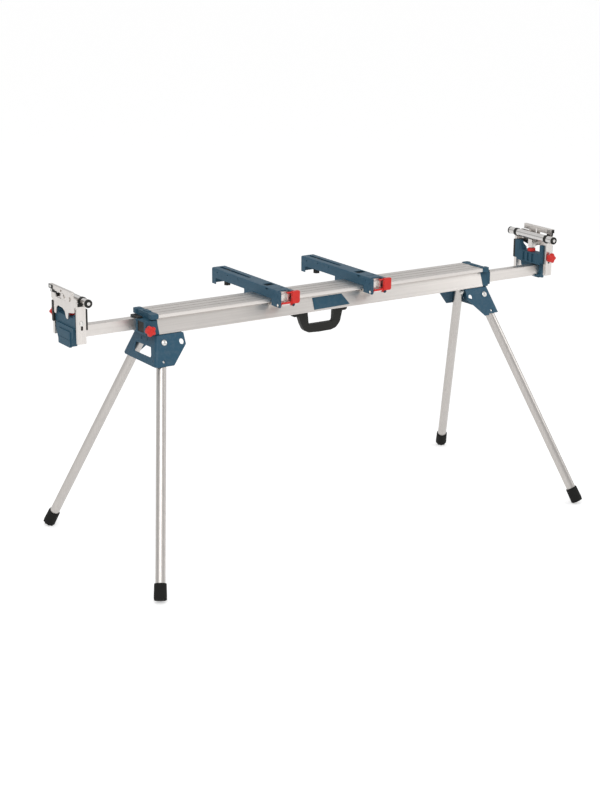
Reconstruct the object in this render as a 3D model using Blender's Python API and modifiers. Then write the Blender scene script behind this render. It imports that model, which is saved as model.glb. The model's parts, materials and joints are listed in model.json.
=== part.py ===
"""Folding miter saw stand: an aluminium rail on four splayed legs, with two quick-release tool mounts and two
extending work supports with rollers.

X runs along the rail, the user stands at -Y and Z is up. The origin is on the floor under the middle of the rail.
Lengths are in metres. Pieces of the right-hand end are described where they stand, and the left-hand end is the
same set turned half a turn about Z.
"""

import math

import bmesh
import bpy
from mathutils import Matrix, Vector

# How finely round shapes are drawn
LEG_SIDES = 20
ROLLER_SIDES = 18
HUB_SIDES = 14
PIN_SIDES = 10
CORNER_STEPS = 2
LOBE_STEPS = 5
FLUTE_STEPS = 3
DRAW_SCALE = 100  # outlines are drawn this much larger, because filling merges points that lie close together
DRAW_TURN = Matrix.Rotation(math.radians(21), 4, "Z")  # and at this angle, because it drops slivers on level edges

# Clearances
SEAT_GAP = 0.0003  # between pieces that rest on each other
SLIDE_GAP = 0.0005  # between pieces that slide past each other
HOLE_GAP = 0.0004  # around a shank in its hole
LAP = 0.0008  # how far joined shapes run into each other
OVERRUN = 0.006  # how far a cut runs past the wall it opens

# Rail
RAIL_LENGTH = 1.22
DECK_HEIGHT = 0.7635
RAIL_DEPTH = 0.061
RAIL_FOOT_WIDTH = 0.122
RAIL_NECK_WIDTH = 0.0842
RAIL_LIP_WIDTH = 0.1136
RAIL_LIP_THICKNESS = 0.0115
RAIL_WALL = 0.0028
RAIL_EDGE_RADIUS = 0.0018
GROOVE_WIDTH = 0.003
GROOVE_DEPTH = 0.0025
GROOVE_PITCH = 0.028
GROOVE_COUNT = 3

# Extension arms
ARM_WIDTH = 0.0263
ARM_HEIGHT = 0.0358
ARM_LENGTH = 1.10
ARM_REACH = 0.278
ARM_OFFSET = 0.0239
ARM_WALL = 0.0025
ARM_RISE = 0.0064
ARM_EDGE_RADIUS = 0.0015

# End caps
CAP_THICKNESS = 0.021
CAP_MARGIN = 0.001
CAP_EDGE_RADIUS = 0.003
CAP_REACH = 0.0415
CAP_LOBE_REACH = 0.0285
CAP_LOBE_WIDTH = 0.0235
CAP_LOBE_RADIUS = 0.005
CAP_HUMP_WIDTH = 0.034
CAP_HUMP_RISE = 0.0012
CAP_HOUSING_ARM_WALL = 0.008
CAP_HOUSING_BACK = 0.052
CAP_HOUSING_TOP_WALL = 0.0012
CAP_HOUSING_FLOOR_GAP = 0.001
CAP_POCKET_WIDTH = 0.040
CAP_POCKET_HEIGHT = 0.0325
CAP_POCKET_RISE = 0.005
CAP_POCKET_FLOOR = 0.005
CAP_LINER_WIDTH = 0.0455
CAP_LINER_HEIGHT = 0.006
CAP_LINER_OVERHANG = 0.0015

# Star knobs
KNOB_RADIUS = 0.019
KNOB_DIP = 0.0042
KNOB_LOBES = 5
KNOB_THICKNESS = 0.015
KNOB_EDGE = 0.002
KNOB_HUB_RADIUS = 0.0105
KNOB_STUD_RADIUS = 0.004
KNOB_DISH_RADIUS = 0.0085
KNOB_DISH_DEPTH = 0.0012
ARM_KNOB_STANDOFF = 0.018
ARM_KNOB_REACH = 0.0345
ARM_KNOB_DROP = 0.00675

# Legs: a pivot under each end of the rail and the point where the leg's axis meets the floor
PIVOT_INSET = 0.0062
PIVOT_SIDE = 0.0599
PIVOT_DROP = 0.0291
FOOT_OUT = 0.1905
FOOT_SIDE = 0.3196
LEG_RADIUS = 0.015
LEG_WALL = 0.0015
LEG_ABOVE_PIVOT = 0.012

# Feet
SHOE_RADIUS = 0.0197
SHOE_TOP_RADIUS = 0.0183
SHOE_LENGTH = 0.050
SHOE_SOLE = 0.012
SHOE_EDGE = 0.0035
SHOE_SHORT = 0.0085

# Leg brackets, folded from sheet
SHEET = 0.0025
LEG_PLATE_GAP = 0.0004
FOLD_RADIUS = 0.010
BRACKET_DEPTH = 0.0857
BRACKET_END_OFFSET = 0.028
BRACKET_END_TILT = math.radians(15.8)
BRACKET_SIDE_REACH = 0.0712
BRACKET_SLANT_DROP = 0.0326
BRACKET_SLANT_REACH = 0.054
BRACKET_NOTCH_WIDTH = 0.016
BRACKET_NOTCH_RISE = 0.0045
WINDOW_RADIUS = 0.005
# Corners of the window in the end plate, across and up, as shares of the leg pivots' spacing and the bracket's depth
WINDOW_SHARES = ((-0.376, 0.554), (0.426, 0.583), (0.559, 0.245), (-0.351, 0.233))
END_SLOT_WIDTH = 0.003
END_SLOT_HEIGHT = 0.010
END_SLOT_SHARES = ((-0.120, 0.755), (0.181, 0.766))
END_HOLE_RADIUS = 0.0026
END_HOLE_SHARE = (0.694, 0.174)

# Leg pivot bolts and lock buttons
BOLT_RADIUS = 0.004
BOLT_HEAD_RADIUS = 0.0095
BOLT_HEAD_HEIGHT = 0.0055
NUT_RADIUS = 0.0075
NUT_HEIGHT = 0.006
BOLT_END = 0.0015
BUTTON_RADIUS = 0.004
BUTTON_LENGTH = 0.008
BUTTON_FLANGE_RADIUS = 0.0055
BUTTON_FLANGE_THICKNESS = 0.0013
BUTTON_FLANGE_SETBACK = 0.0033
BUTTON_SETBACK = 0.0001
LOCK_REACH = 0.0585
FOLD_HOLE_WIDTH = 0.015
FOLD_HOLE_HEIGHT = 0.018
FOLD_HOLE_DROP = 0.003
FOLD_HOLE_RADIUS = 0.0072

# Carrying handle, outline as shares of its width and drop, across from the middle and down from the rail
HANDLE_WIDTH = 0.205
HANDLE_DROP = 0.0855
HANDLE_THICKNESS = 0.028
HANDLE_EDGE = 0.004
HANDLE_OUTER_SHARES = (
    (-0.500, 0.000),
    (-0.500, 0.045),
    (-0.405, 0.085),
    (-0.335, 0.805),
    (-0.215, 1.000),
    (0.110, 1.000),
    (0.300, 0.925),
    (0.415, 0.360),
    (0.430, 0.095),
    (0.505, 0.055),
    (0.505, 0.000),
    (0.220, 0.000),
    (0.215, 0.635),
    (-0.207, 0.635),
    (-0.228, 0.000),
)
HANDLE_RADIUS_SHARES = (0, 0.02, 0.04, 0.12, 0.14, 0.14, 0.16, 0.16, 0.04, 0.02, 0, 0, 0.03, 0.03, 0)

# Name plate, corners as shares of its width and height
PLATE_WIDTH = 0.134
PLATE_HEIGHT = 0.0392
PLATE_THICKNESS = 0.0008
PLATE_LEFT = 0.0598
PLATE_RISE = 0.006
PLATE_SHARES = ((0.0, 0.0), (1.0, 0.06), (0.82, 1.0), (0.0, 0.98))

# Roller supports: posts stand on a line this far outboard of the rail's end
SUPPORT_REACH = 0.263
POST_WIDTH = 0.026
POST_THICKNESS = 0.012
POST_WALL = 0.0022
POST_INNER = 0.0715
POST_BELOW_ARM = 0.0118
POST_SLOT_WIDTH = 0.0066
POST_SLOT_LIFT = 0.018
GUIDE_RISE = 0.0498
ROLLER_SETBACK = 0.0082
ROLLER_RISE = 0.11285
ROLLER_RADIUS = 0.012
ROLLER_NECK_RADIUS = 0.0072
ROLLER_BARREL_HALF = 0.0708
ROLLER_STUB_START = 0.0832
ROLLER_STUB_END = 0.1095
ROLLER_SPIGOT_RADIUS = 0.006
ROLLER_SPIGOT_LENGTH = 0.003
ROLLER_EDGE = 0.0006
ROLLER_CAP_RADIUS = 0.0123
ROLLER_CAP_LENGTH = 0.0056
ROLLER_CAP_EDGE = 0.0015
BUSH_RADIUS = 0.0133
POST_ABOVE_ARM = ROLLER_RISE - BUSH_RADIUS - SEAT_GAP
BUSH_LENGTH = 0.0110
BUSH_START = 0.0715
BUSH_PAD_WIDTH = 0.0225
BUSH_PAD_HEIGHT = 0.0065
BUSH_PEG_DEPTH = 0.006
FACE_PLATE_THICKNESS = 0.003
FACE_PLATE_TOP = 0.1222
FACE_PLATE_BRIDGE = 0.0952
FACE_PLATE_HALF = 0.069
# Lower edge of the face plate, across as shares of its half width and up as shares of its bridge height
FACE_PLATE_EDGE_SHARES = (
    (-1.000, 1.000),
    (-0.957, 0.581),
    (-0.780, 0.560),
    (-0.720, 0.770),
    (-0.560, 0.850),
    (-0.140, 0.835),
    (0.080, 0.765),
    (0.190, 0.570),
    (0.360, 0.540),
    (0.430, 0.760),
    (0.780, 0.800),
    (1.000, 0.830),
    (1.000, 1.000),
)
FACE_PLATE_EDGE_RADIUS = 0.006
FACE_WINDOW_SHARES = ((-0.52, 1.085), (0.50, 1.085), (0.70, 1.235), (-0.72, 1.235))
FACE_WINDOW_RADIUS = 0.003
REST_BLOCK_WIDTH = 0.018
REST_BLOCK_SETBACK = 0.027
REST_BLOCK_BOTTOM = 0.08425
REST_BLOCK_TOP = ROLLER_RISE - ROLLER_RADIUS - SLIDE_GAP
STOP_SCREW_RISE = 0.0907
STOP_SCREW_RADIUS = 0.0023
STOP_SCREW_HEAD_RADIUS = 0.0048
STOP_SCREW_HEAD_HEIGHT = 0.0025

# Stop bars
STOP_TRAVEL = 0.018
STOP_LENGTH = 0.1556
STOP_BOTTOM = 0.11325
STOP_HEIGHT = 0.028
STOP_THICKNESS = 0.015
STOP_FIN_DEPTH = 0.0035
STOP_FIN_GAP = 0.0034
STOP_FIN_COUNT = 3
STOP_BORE_RADIUS = 0.0024
STOP_BORE_DEPTH = 0.012
STOP_BORE_SPACING = 0.014
STOP_TONGUE_WIDTH = 0.055
STOP_TONGUE_THICKNESS = 0.003
STOP_TONGUE_DROP = 0.040
STOP_TONGUE_TAPER = 0.012

# Carriages that hold the supports on the arms
CROSSBAR_INBOARD = 0.021
CROSSBAR_OUTBOARD = 0.011
CROSSBAR_HALF = 0.061
CROSSBAR_BOTTOM = 0.02175
CROSSBAR_TOP = 0.05825
UPRIGHT_INNER = 0.0462
UPRIGHT_TOP = 0.08975
UPRIGHT_BOTTOM = 0.02675
UPRIGHT_NARROW = 0.005
UPRIGHT_SHOULDER = 0.0640
GUIDE_WALL = 0.002
GUIDE_LIP = 0.0028
GUIDE_LIP_WIDTH = 0.0085
END_BLOCK_INBOARD = 0.004
END_BLOCK_OUTBOARD = 0.024
END_BLOCK_HALF = 0.046
END_BLOCK_FOOT_HALF = 0.039
END_BLOCK_BOTTOM = 0.02775
END_BLOCK_TOP = 0.03025
END_BLOCK_SHOULDER = 0.006
END_BLOCK_CHAMFER = 0.010
BUMPER_LENGTH = 0.017
BUMPER_WIDTH = 0.007
BUMPER_HEIGHT = 0.006
BUMPER_RISE = 0.007
CARRIAGE_RIB_WIDTH = 0.012
CARRIAGE_RIB_DEPTH = 0.004
CARRIAGE_RIB_COUNT = 3
GUIDE_SCREW_RADIUS = 0.0028
GUIDE_SCREW_DEPTH = 0.014
GUIDE_HEAD_RADIUS = 0.008
GUIDE_HEAD_THICKNESS = 0.0018
GUIDE_HEX_RADIUS = 0.005
GUIDE_HEX_THICKNESS = 0.003
HEIGHT_KNOB_STANDOFF = 0.004

# Thumb wheels
WHEEL_RADIUS = 0.0135
WHEEL_THICKNESS = 0.011
WHEEL_SETBACK = 0.007
WHEEL_FLUTES = 14
WHEEL_FLUTE_DEPTH = 0.0008
WHEEL_STUD_RADIUS = 0.004
WHEEL_STUD_DEPTH = 0.020

# Tool mounts
MOUNT_PLACES = {"left": -0.192, "right": 0.152}
MOUNT_WIDTH = 0.052
MOUNT_WALL = 0.0025
MOUNT_FRONT = 0.111
MOUNT_BACK = 0.305
MOUNT_TOP_RISE = 0.0315
MOUNT_DROP = 0.020
MOUNT_BEND_RADIUS = 0.004
MOUNT_INNER_RADIUS = 0.0015
MOUNT_FRONT_LEG = 0.053
MOUNT_HOOK_LEG = 0.047
MOUNT_TAIL = 0.022
MOUNT_CORNER_CUT = 0.005
MOUNT_MOUTH_DEPTH = 0.018
MOUNT_MOUTH_WIDTH = 0.034
HOOK_REACH = 0.0088
HOOK_BODY = 0.013
HOOK_RISE = 0.004
TOP_SLOT_WIDTH = 0.0115
TOP_SLOT_START = 0.109
TOP_SLOT_END = 0.297
POCKET_WIDTH = 0.033
POCKET_LENGTH = 0.028
POCKET_RADIUS = 0.002
CURVED_SLOT_RADIUS = 0.020
CURVED_SLOT_WIDTH = 0.003
CURVED_SLOT_CENTRE = 0.044
CURVED_SLOT_SPAN = math.radians(100)
SIDE_HOLE_RADIUS = 0.0028
# Places of the side holes, along as shares of the mount's rear length and down as shares of its drop to the deck
SIDE_HOLE_SHARES = ((0.892, 0.35), (0.679, 0.26), (0.467, 0.26))
SIDE_SLOT_LENGTH = 0.012
SIDE_SLOT_HEIGHT = 0.0045
SIDE_SLOT_SHARE = (0.27, 0.16)
RIVET_SLOT_LENGTH = 0.0024
RIVET_SLOT_HEIGHT = 0.006
RIVET_SLOT_SHARES = ((0.62, 0.41), (0.85, 0.57))

# Clamp jaws
JAW_HEIGHT = 0.025
JAW_SIDE_GAP = 0.0009
JAW_FRONT_SETBACK = 0.0095
JAW_LEG = 0.0145
JAW_TOE_LENGTH = 0.0095
JAW_TRAVEL = 0.010
JAW_POCKET_WIDTH = 0.008
JAW_POCKET_HEIGHT = 0.005
JAW_POCKET_DEPTH = 0.008
JAW_POCKET_PLACE = 0.007

# Clamp levers
LEVER_PIN_SETBACK = 0.013
LEVER_PIN_DROP = 0.0125
LEVER_PIN_RADIUS = 0.003
LEVER_PIN_HEAD_RADIUS = 0.0045
LEVER_PIN_HEAD = 0.0018
LEVER_FACE_GAP = 0.001
LEVER_DEPTH = 0.016
LEVER_FRAME_DEPTH = 0.005
LEVER_GRIP_LEFT = 0.012
LEVER_GRIP_RIGHT = 0.042
LEVER_FRAME_LEFT = 0.0235
LEVER_TOP_DROP = 0.003
LEVER_BOTTOM_RISE = 0.0015
LEVER_BAR_HEIGHT = 0.0135
LEVER_BAR_RIGHT = 0.022
LEVER_EDGE_RADIUS = 0.0035
LEVER_BOTTOM_RADIUS = 0.009
LEVER_WINDOW_HEIGHT = 0.0185
LEVER_WINDOW_SHARES = ((-0.0205, -0.0095), (-0.0030, 0.0110))
LEVER_CHEEK_THICKNESS = 0.006
LEVER_BARREL_RADIUS = 0.006
LEVER_EDGE = 0.001

# Bolt knobs that fasten the tool
BOLT_KNOB_PLACE = 0.252
BOLT_KNOB_RADIUS = 0.011
BOLT_KNOB_DIP = 0.0014
BOLT_KNOB_LOBES = 6
BOLT_KNOB_HEIGHT = 0.013
BOLT_KNOB_DROP = 0.0068
BOLT_COLLAR_WIDTH = 0.016
BOLT_COLLAR_HEIGHT = 0.003

# Places worked out from the sizes above
RAIL_END = RAIL_LENGTH / 2
RAIL_BOTTOM = DECK_HEIGHT - RAIL_DEPTH
LIP_BOTTOM = DECK_HEIGHT - RAIL_LIP_THICKNESS
LIP_EDGE = RAIL_LIP_WIDTH / 2
ARM_BOTTOM = RAIL_BOTTOM + ARM_RISE
ARM_Z = ARM_BOTTOM + ARM_HEIGHT / 2
ARM_TOP = ARM_BOTTOM + ARM_HEIGHT
ARM_END = RAIL_END + ARM_REACH
CAP_START = RAIL_END + SEAT_GAP
CAP_END = RAIL_END + CAP_REACH
PIVOT = Vector((RAIL_END - PIVOT_INSET, -PIVOT_SIDE, RAIL_BOTTOM - PIVOT_DROP))
FOOT_POINT = Vector((PIVOT.x + FOOT_OUT, PIVOT.y - FOOT_SIDE, 0))
LEG_REACH = (FOOT_POINT - PIVOT).length
PLATE_TILT = math.atan2(FOOT_SIDE, PIVOT.z)
PLATE_OUTER = LEG_RADIUS + LEG_PLATE_GAP + SHEET
BRACKET_TOP = RAIL_BOTTOM - SEAT_GAP
BRACKET_BOTTOM = BRACKET_TOP - BRACKET_DEPTH
BRACKET_INNER_END = PIVOT.x - BRACKET_SIDE_REACH
POST_X = RAIL_END + SUPPORT_REACH
POST_OUTER = POST_INNER + POST_THICKNESS
GUIDE_Z = ARM_Z + GUIDE_RISE
FACE_PLATE_X = POST_X + POST_WIDTH / 2 - LAP
MOUNT_TOP = DECK_HEIGHT + MOUNT_TOP_RISE
MOUNT_SEAT = DECK_HEIGHT + SEAT_GAP
MOUNT_BOTTOM = DECK_HEIGHT - MOUNT_DROP
MOUNT_INNER = MOUNT_WIDTH / 2 - MOUNT_WALL
MOUNT_UNDERSIDE = MOUNT_TOP - MOUNT_WALL
LEVER_PIN = Vector((0, LEVER_PIN_SETBACK - MOUNT_FRONT, DECK_HEIGHT - LEVER_PIN_DROP))

HALF_TURN = Matrix.Rotation(math.pi, 4, "Z")
HERE = Matrix()
ENDS = {"right": HERE, "left": HALF_TURN}


# Scene and materials


def clear_scene():
    for obj in list(bpy.data.objects):
        bpy.data.objects.remove(obj, do_unlink=True)


def collection(name):
    made = bpy.data.collections.new(name)
    bpy.context.scene.collection.children.link(made)
    return made


def material(name, colour, roughness, metallic=0.0):
    made = bpy.data.materials.new(name)
    made.use_nodes = True
    shader = made.node_tree.nodes["Principled BSDF"]
    shader.inputs["Base Color"].default_value = (*colour, 1.0)
    shader.inputs["Roughness"].default_value = roughness
    shader.inputs["Metallic"].default_value = metallic
    made.diffuse_color = (*colour, 1.0)
    return made


clear_scene()
STAND = collection("miter_saw_stand")
CUTTERS = collection("cutters")

ALUMINIUM = material("brushed_aluminium", (0.66, 0.64, 0.62), 0.38, 1.0)
STEEL = material("zinc_plated_steel", (0.72, 0.72, 0.72), 0.28, 1.0)
CHROME = material("polished_roller", (0.85, 0.85, 0.86), 0.08, 1.0)
BLUE_PAINT = material("blue_painted_steel", (0.035, 0.105, 0.175), 0.42)
BLUE_PLASTIC = material("blue_moulded_plastic", (0.030, 0.085, 0.140), 0.50)
RED_PLASTIC = material("red_moulded_plastic", (0.76, 0.030, 0.020), 0.38)
BLACK_PLASTIC = material("black_moulded_plastic", (0.018, 0.018, 0.016), 0.45)
RUBBER = material("black_rubber", (0.012, 0.012, 0.012), 0.75)


# Shapes: each function returns a mesh


def mesh_from(bm, name):
    mesh = bpy.data.meshes.new(name)
    bm.to_mesh(mesh)
    bm.free()
    return mesh


def box(low, high):
    size = Vector(high) - Vector(low)
    middle = (Vector(high) + Vector(low)) / 2
    bm = bmesh.new()
    bmesh.ops.create_cube(bm, size=1, matrix=Matrix.Translation(middle) @ Matrix.Diagonal((*size, 1)))
    return mesh_from(bm, "box")


def cylinder(start, end, radius, sides=PIN_SIDES):
    start, end = Vector(start), Vector(end)
    turn = (end - start).to_track_quat("Z", "Y").to_matrix().to_4x4()
    bm = bmesh.new()
    bmesh.ops.create_cone(
        bm,
        cap_ends=True,
        segments=sides,
        radius1=radius,
        radius2=radius,
        depth=(end - start).length,
        matrix=Matrix.Translation((start + end) / 2) @ turn,
    )
    return mesh_from(bm, "cylinder")


def circle(centre, radius, sides=PIN_SIDES):
    steps = (2 * math.pi * index / sides for index in range(sides))
    return [(centre[0] + radius * math.cos(turn), centre[1] + radius * math.sin(turn)) for turn in steps]


def lobed(radius, dip, lobes, steps=LOBE_STEPS):
    """Outline that dips between its lobes."""
    count = lobes * steps
    turns = [2 * math.pi * index / count for index in range(count)]
    reaches = [radius - dip * (1 - math.cos(lobes * turn)) / 2 for turn in turns]
    return [(reach * math.cos(turn), reach * math.sin(turn)) for reach, turn in zip(reaches, turns)]


def rectangle(low, high):
    return [(low[0], low[1]), (high[0], low[1]), (high[0], high[1]), (low[0], high[1])]


def rounded(points, radius, steps=CORNER_STEPS):
    """Outline with its corners turned into arcs. radius is one length, or one for each corner."""
    radii = [radius] * len(points) if isinstance(radius, (int, float)) else radius
    outline = []
    for index, point in enumerate(points):
        corner = Vector(point)
        before = Vector(points[index - 1]) - corner
        after = Vector(points[(index + 1) % len(points)]) - corner
        if not radii[index]:
            outline.append(tuple(corner))
            continue
        half = before.angle(after) / 2
        reach = min(radii[index] / math.tan(half), 0.48 * before.length, 0.48 * after.length)
        centre = corner + (before.normalized() + after.normalized()).normalized() * reach / math.cos(half)
        first = corner + before.normalized() * reach - centre
        last = corner + after.normalized() * reach - centre
        sweep = math.atan2(first.x * last.y - first.y * last.x, first.dot(last))
        for step in range(steps + 1):
            outline.append(tuple(centre + Matrix.Rotation(sweep * step / steps, 2) @ first))
    return outline


def prism(loops, depth, frame=HERE):
    """Flat outline in a frame's XY plane, the first loop with the rest as holes, extruded by depth along its Z."""
    curve = bpy.data.curves.new("outline", "CURVE")
    curve.dimensions = "2D"
    curve.fill_mode = "BOTH"
    curve.extrude = depth / 2 * DRAW_SCALE
    for loop in loops:
        spline = curve.splines.new("POLY")
        spline.points.add(len(loop) - 1)
        for point, (right, up) in zip(spline.points, loop):
            point.co = (*(DRAW_TURN @ Vector((right, up, 0)) * DRAW_SCALE), 1)
        spline.use_cyclic_u = True
    drawn = bpy.data.objects.new("outline", curve)
    CUTTERS.objects.link(drawn)
    mesh = bpy.data.meshes.new_from_object(drawn.evaluated_get(bpy.context.evaluated_depsgraph_get()))
    bpy.data.objects.remove(drawn)
    bpy.data.curves.remove(curve)
    bm = bmesh.new()
    bm.from_mesh(mesh)
    bmesh.ops.remove_doubles(bm, verts=bm.verts, dist=LAP)
    bmesh.ops.recalc_face_normals(bm, faces=bm.faces)
    bm.to_mesh(mesh)
    bm.free()
    mesh.materials.clear()
    raised = Matrix.Translation((0, 0, depth / 2))
    mesh.transform(frame @ raised @ DRAW_TURN.inverted() @ Matrix.Scale(1 / DRAW_SCALE, 4))
    return mesh


def along(loops, start, end):
    """Outline drawn across and up, run along X."""
    frame = Matrix(((0, 0, 1, start), (1, 0, 0, 0), (0, 1, 0, 0), (0, 0, 0, 1)))
    return prism(loops, end - start, frame)


def across(loops, front, back):
    """Outline drawn along and up, run across Y."""
    frame = Matrix(((1, 0, 0, 0), (0, 0, -1, back), (0, 1, 0, 0), (0, 0, 0, 1)))
    return prism(loops, back - front, frame)


def upward(loops, bottom, top):
    """Outline drawn in plan, run up Z."""
    return prism(loops, top - bottom, Matrix.Translation((0, 0, bottom)))


def revolved(profile, frame=HERE, sides=PIN_SIDES):
    """Profile of (radius, height) points that runs down its outer side, turned about a frame's Z."""
    mesh = bpy.data.meshes.new("profile")
    edges = [(index, index + 1) for index in range(len(profile) - 1)]
    mesh.from_pydata([(radius, 0, height) for radius, height in profile], edges, [])
    turned = bpy.data.objects.new("profile", mesh)
    CUTTERS.objects.link(turned)
    screw = turned.modifiers.new("turn", "SCREW")
    screw.steps = screw.render_steps = sides
    screw.use_merge_vertices = True
    screw.merge_threshold = 0.00001
    made = bpy.data.meshes.new_from_object(turned.evaluated_get(bpy.context.evaluated_depsgraph_get()))
    bpy.data.objects.remove(turned)
    bpy.data.meshes.remove(mesh)
    made.transform(frame)
    return made


# Pieces


def piece(name, mesh, look, place=HERE, origin=(0, 0, 0)):
    """Named piece of the stand. Its mesh is drawn in the frame given by place, with its origin at a point there."""
    mesh.transform(Matrix.Translation(-Vector(origin)))
    mesh.materials.append(look)
    mesh.shade_smooth()
    mesh.set_sharp_from_angle(angle=math.radians(35))
    made = bpy.data.objects.new(name, mesh)
    made.matrix_world = place @ Matrix.Translation(origin)
    made["drawn_from"] = origin
    STAND.objects.link(made)
    return made


def combine(target, meshes, operation):
    """Join meshes to a piece or cut them from it. They are drawn in the frame that the piece was drawn in."""
    for mesh in meshes:
        tool = bpy.data.objects.new(f"{target.name}_{operation.lower()}", mesh)
        tool.parent = target
        tool.matrix_local = Matrix.Translation(-Vector(target["drawn_from"]))
        tool.hide_render = True
        tool.display_type = "WIRE"
        CUTTERS.objects.link(tool)
        step = target.modifiers.new(operation.lower(), "BOOLEAN")
        step.operation = operation
        step.solver = "EXACT"
        step.object = tool


def add(target, *meshes):
    combine(target, meshes, "UNION")


def cut(target, *meshes):
    combine(target, meshes, "DIFFERENCE")


def mirrored(points):
    """Outline whose right half is given, from bottom to top."""
    return points + [(-across_, up) for across_, up in reversed(points)]


def bevelled(target, width, segments, angle=math.radians(50)):
    weld = target.modifiers.new("weld", "WELD")
    weld.merge_threshold = 0.00001
    bevel = target.modifiers.new("edges", "BEVEL")
    bevel.width = width
    bevel.segments = segments
    bevel.limit_method = "ANGLE"
    bevel.angle_limit = angle


# Rail and its end caps


def wall_half(height):
    """Half width of the rail's sloping walls at a height."""
    slope = (RAIL_FOOT_WIDTH - RAIL_NECK_WIDTH) / 2 / (LIP_BOTTOM - RAIL_BOTTOM)
    return RAIL_FOOT_WIDTH / 2 - slope * (height - RAIL_BOTTOM)


def rail_half(margin):
    return [
        (RAIL_FOOT_WIDTH / 2 + margin, RAIL_BOTTOM),
        (RAIL_NECK_WIDTH / 2 + margin, LIP_BOTTOM - margin),
        (LIP_EDGE + margin, LIP_BOTTOM - margin),
        (LIP_EDGE + margin, DECK_HEIGHT + margin),
    ]


def arm_bore(centre, gap=SLIDE_GAP):
    low = (centre - ARM_WIDTH / 2 - gap, ARM_BOTTOM - gap)
    high = (centre + ARM_WIDTH / 2 + gap, ARM_TOP + gap)
    return rounded(rectangle(low, high), ARM_EDGE_RADIUS, 1)


def rail_outline():
    outline = rounded(mirrored(rail_half(0)), RAIL_EDGE_RADIUS)
    right = [point for point in outline if point[0] > 0]
    left = [point for point in outline if point[0] < 0]
    deck = []
    for index in range(GROOVE_COUNT):
        middle = (GROOVE_COUNT - 1 - 2 * index) / 2 * GROOVE_PITCH
        near, far = middle + GROOVE_WIDTH / 2, middle - GROOVE_WIDTH / 2
        floor = DECK_HEIGHT - GROOVE_DEPTH
        deck += [(near, DECK_HEIGHT), (near, floor), (far, floor), (far, DECK_HEIGHT)]
    return right + deck + left


def rail_chambers():
    """The hollows of the extrusion: two bores for the arms, one chamber beside each and two under the deck."""
    inner = ARM_OFFSET + ARM_WIDTH / 2 + SLIDE_GAP + RAIL_WALL
    floor = RAIL_BOTTOM + RAIL_WALL
    ceiling = ARM_TOP + SLIDE_GAP
    beside = [
        (inner, floor),
        (wall_half(floor) - RAIL_WALL, floor),
        (wall_half(ceiling) - RAIL_WALL, ceiling),
        (inner, ceiling),
    ]
    under_low = (RAIL_WALL / 2, ceiling + RAIL_WALL)
    under_high = (wall_half(ceiling) - RAIL_WALL, DECK_HEIGHT - GROOVE_DEPTH - RAIL_WALL)
    under = rectangle(under_low, under_high)
    halves = [beside, under, [(-y, z) for y, z in beside], [(-y, z) for y, z in under]]
    return [arm_bore(-ARM_OFFSET), arm_bore(ARM_OFFSET)] + halves


def make_rail():
    mesh = along([rail_outline()] + rail_chambers(), -RAIL_END, RAIL_END)
    piece("main_rail", mesh, ALUMINIUM)


def make_end_cap(end, place):
    plate = rounded(mirrored(rail_half(CAP_MARGIN)), CAP_EDGE_RADIUS)
    cap = piece(f"{end}_end_cap", along([plate], CAP_START, CAP_START + CAP_THICKNESS), BLUE_PLASTIC, place)
    lobe_out = LIP_EDGE + 2 * CAP_MARGIN
    lobe_top = DECK_HEIGHT + 2 * CAP_MARGIN
    for side in (-1, 1):
        near, far = sorted((side * lobe_out, side * (lobe_out - CAP_LOBE_WIDTH)))
        plan = rounded(rectangle((CAP_START + LAP, near), (RAIL_END + CAP_LOBE_REACH, far)), CAP_LOBE_RADIUS)
        add(cap, upward([plan], LIP_BOTTOM - 2 * CAP_MARGIN, lobe_top))
    hump = rounded(
        rectangle((CAP_START + LAP, -CAP_HUMP_WIDTH / 2), (RAIL_END + CAP_LOBE_REACH, CAP_HUMP_WIDTH / 2)),
        CAP_LOBE_RADIUS,
    )
    add(cap, upward([hump], ARM_TOP, lobe_top + CAP_HUMP_RISE))
    housing_low = (-ARM_OFFSET - ARM_WIDTH / 2 - CAP_HOUSING_ARM_WALL, RAIL_BOTTOM + CAP_HOUSING_FLOOR_GAP)
    housing_high = (CAP_HOUSING_BACK, ARM_TOP + SLIDE_GAP + CAP_HOUSING_TOP_WALL)
    housing = rounded(rectangle(housing_low, housing_high), CAP_EDGE_RADIUS)
    add(cap, along([housing], CAP_START + 2 * LAP, CAP_END))
    liner_low = (CAP_START + 3 * LAP, -ARM_OFFSET - CAP_LINER_WIDTH / 2 + CAP_HOUSING_ARM_WALL, ARM_TOP + SLIDE_GAP + LAP)
    liner_high = (CAP_END + CAP_LINER_OVERHANG, liner_low[1] + CAP_LINER_WIDTH, ARM_TOP + CAP_LINER_HEIGHT)
    add(cap, box(liner_low, liner_high))
    cut(cap, along([arm_bore(-ARM_OFFSET)], CAP_START - OVERRUN, CAP_END + OVERRUN))
    pocket_low = (CAP_START + CAP_POCKET_FLOOR, 0, RAIL_BOTTOM + CAP_HOUSING_FLOOR_GAP + CAP_POCKET_RISE)
    pocket_high = (CAP_END + OVERRUN, CAP_POCKET_WIDTH, pocket_low[2] + CAP_POCKET_HEIGHT)
    cut(cap, box(pocket_low, pocket_high))
    knob_x, knob_z = RAIL_END + ARM_KNOB_REACH, ARM_Z - ARM_KNOB_DROP
    inner = (knob_x, -ARM_OFFSET, knob_z)
    outer = (knob_x, CAP_HOUSING_BACK + OVERRUN, knob_z)
    cut(cap, cylinder(inner, outer, KNOB_STUD_RADIUS + HOLE_GAP))


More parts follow.
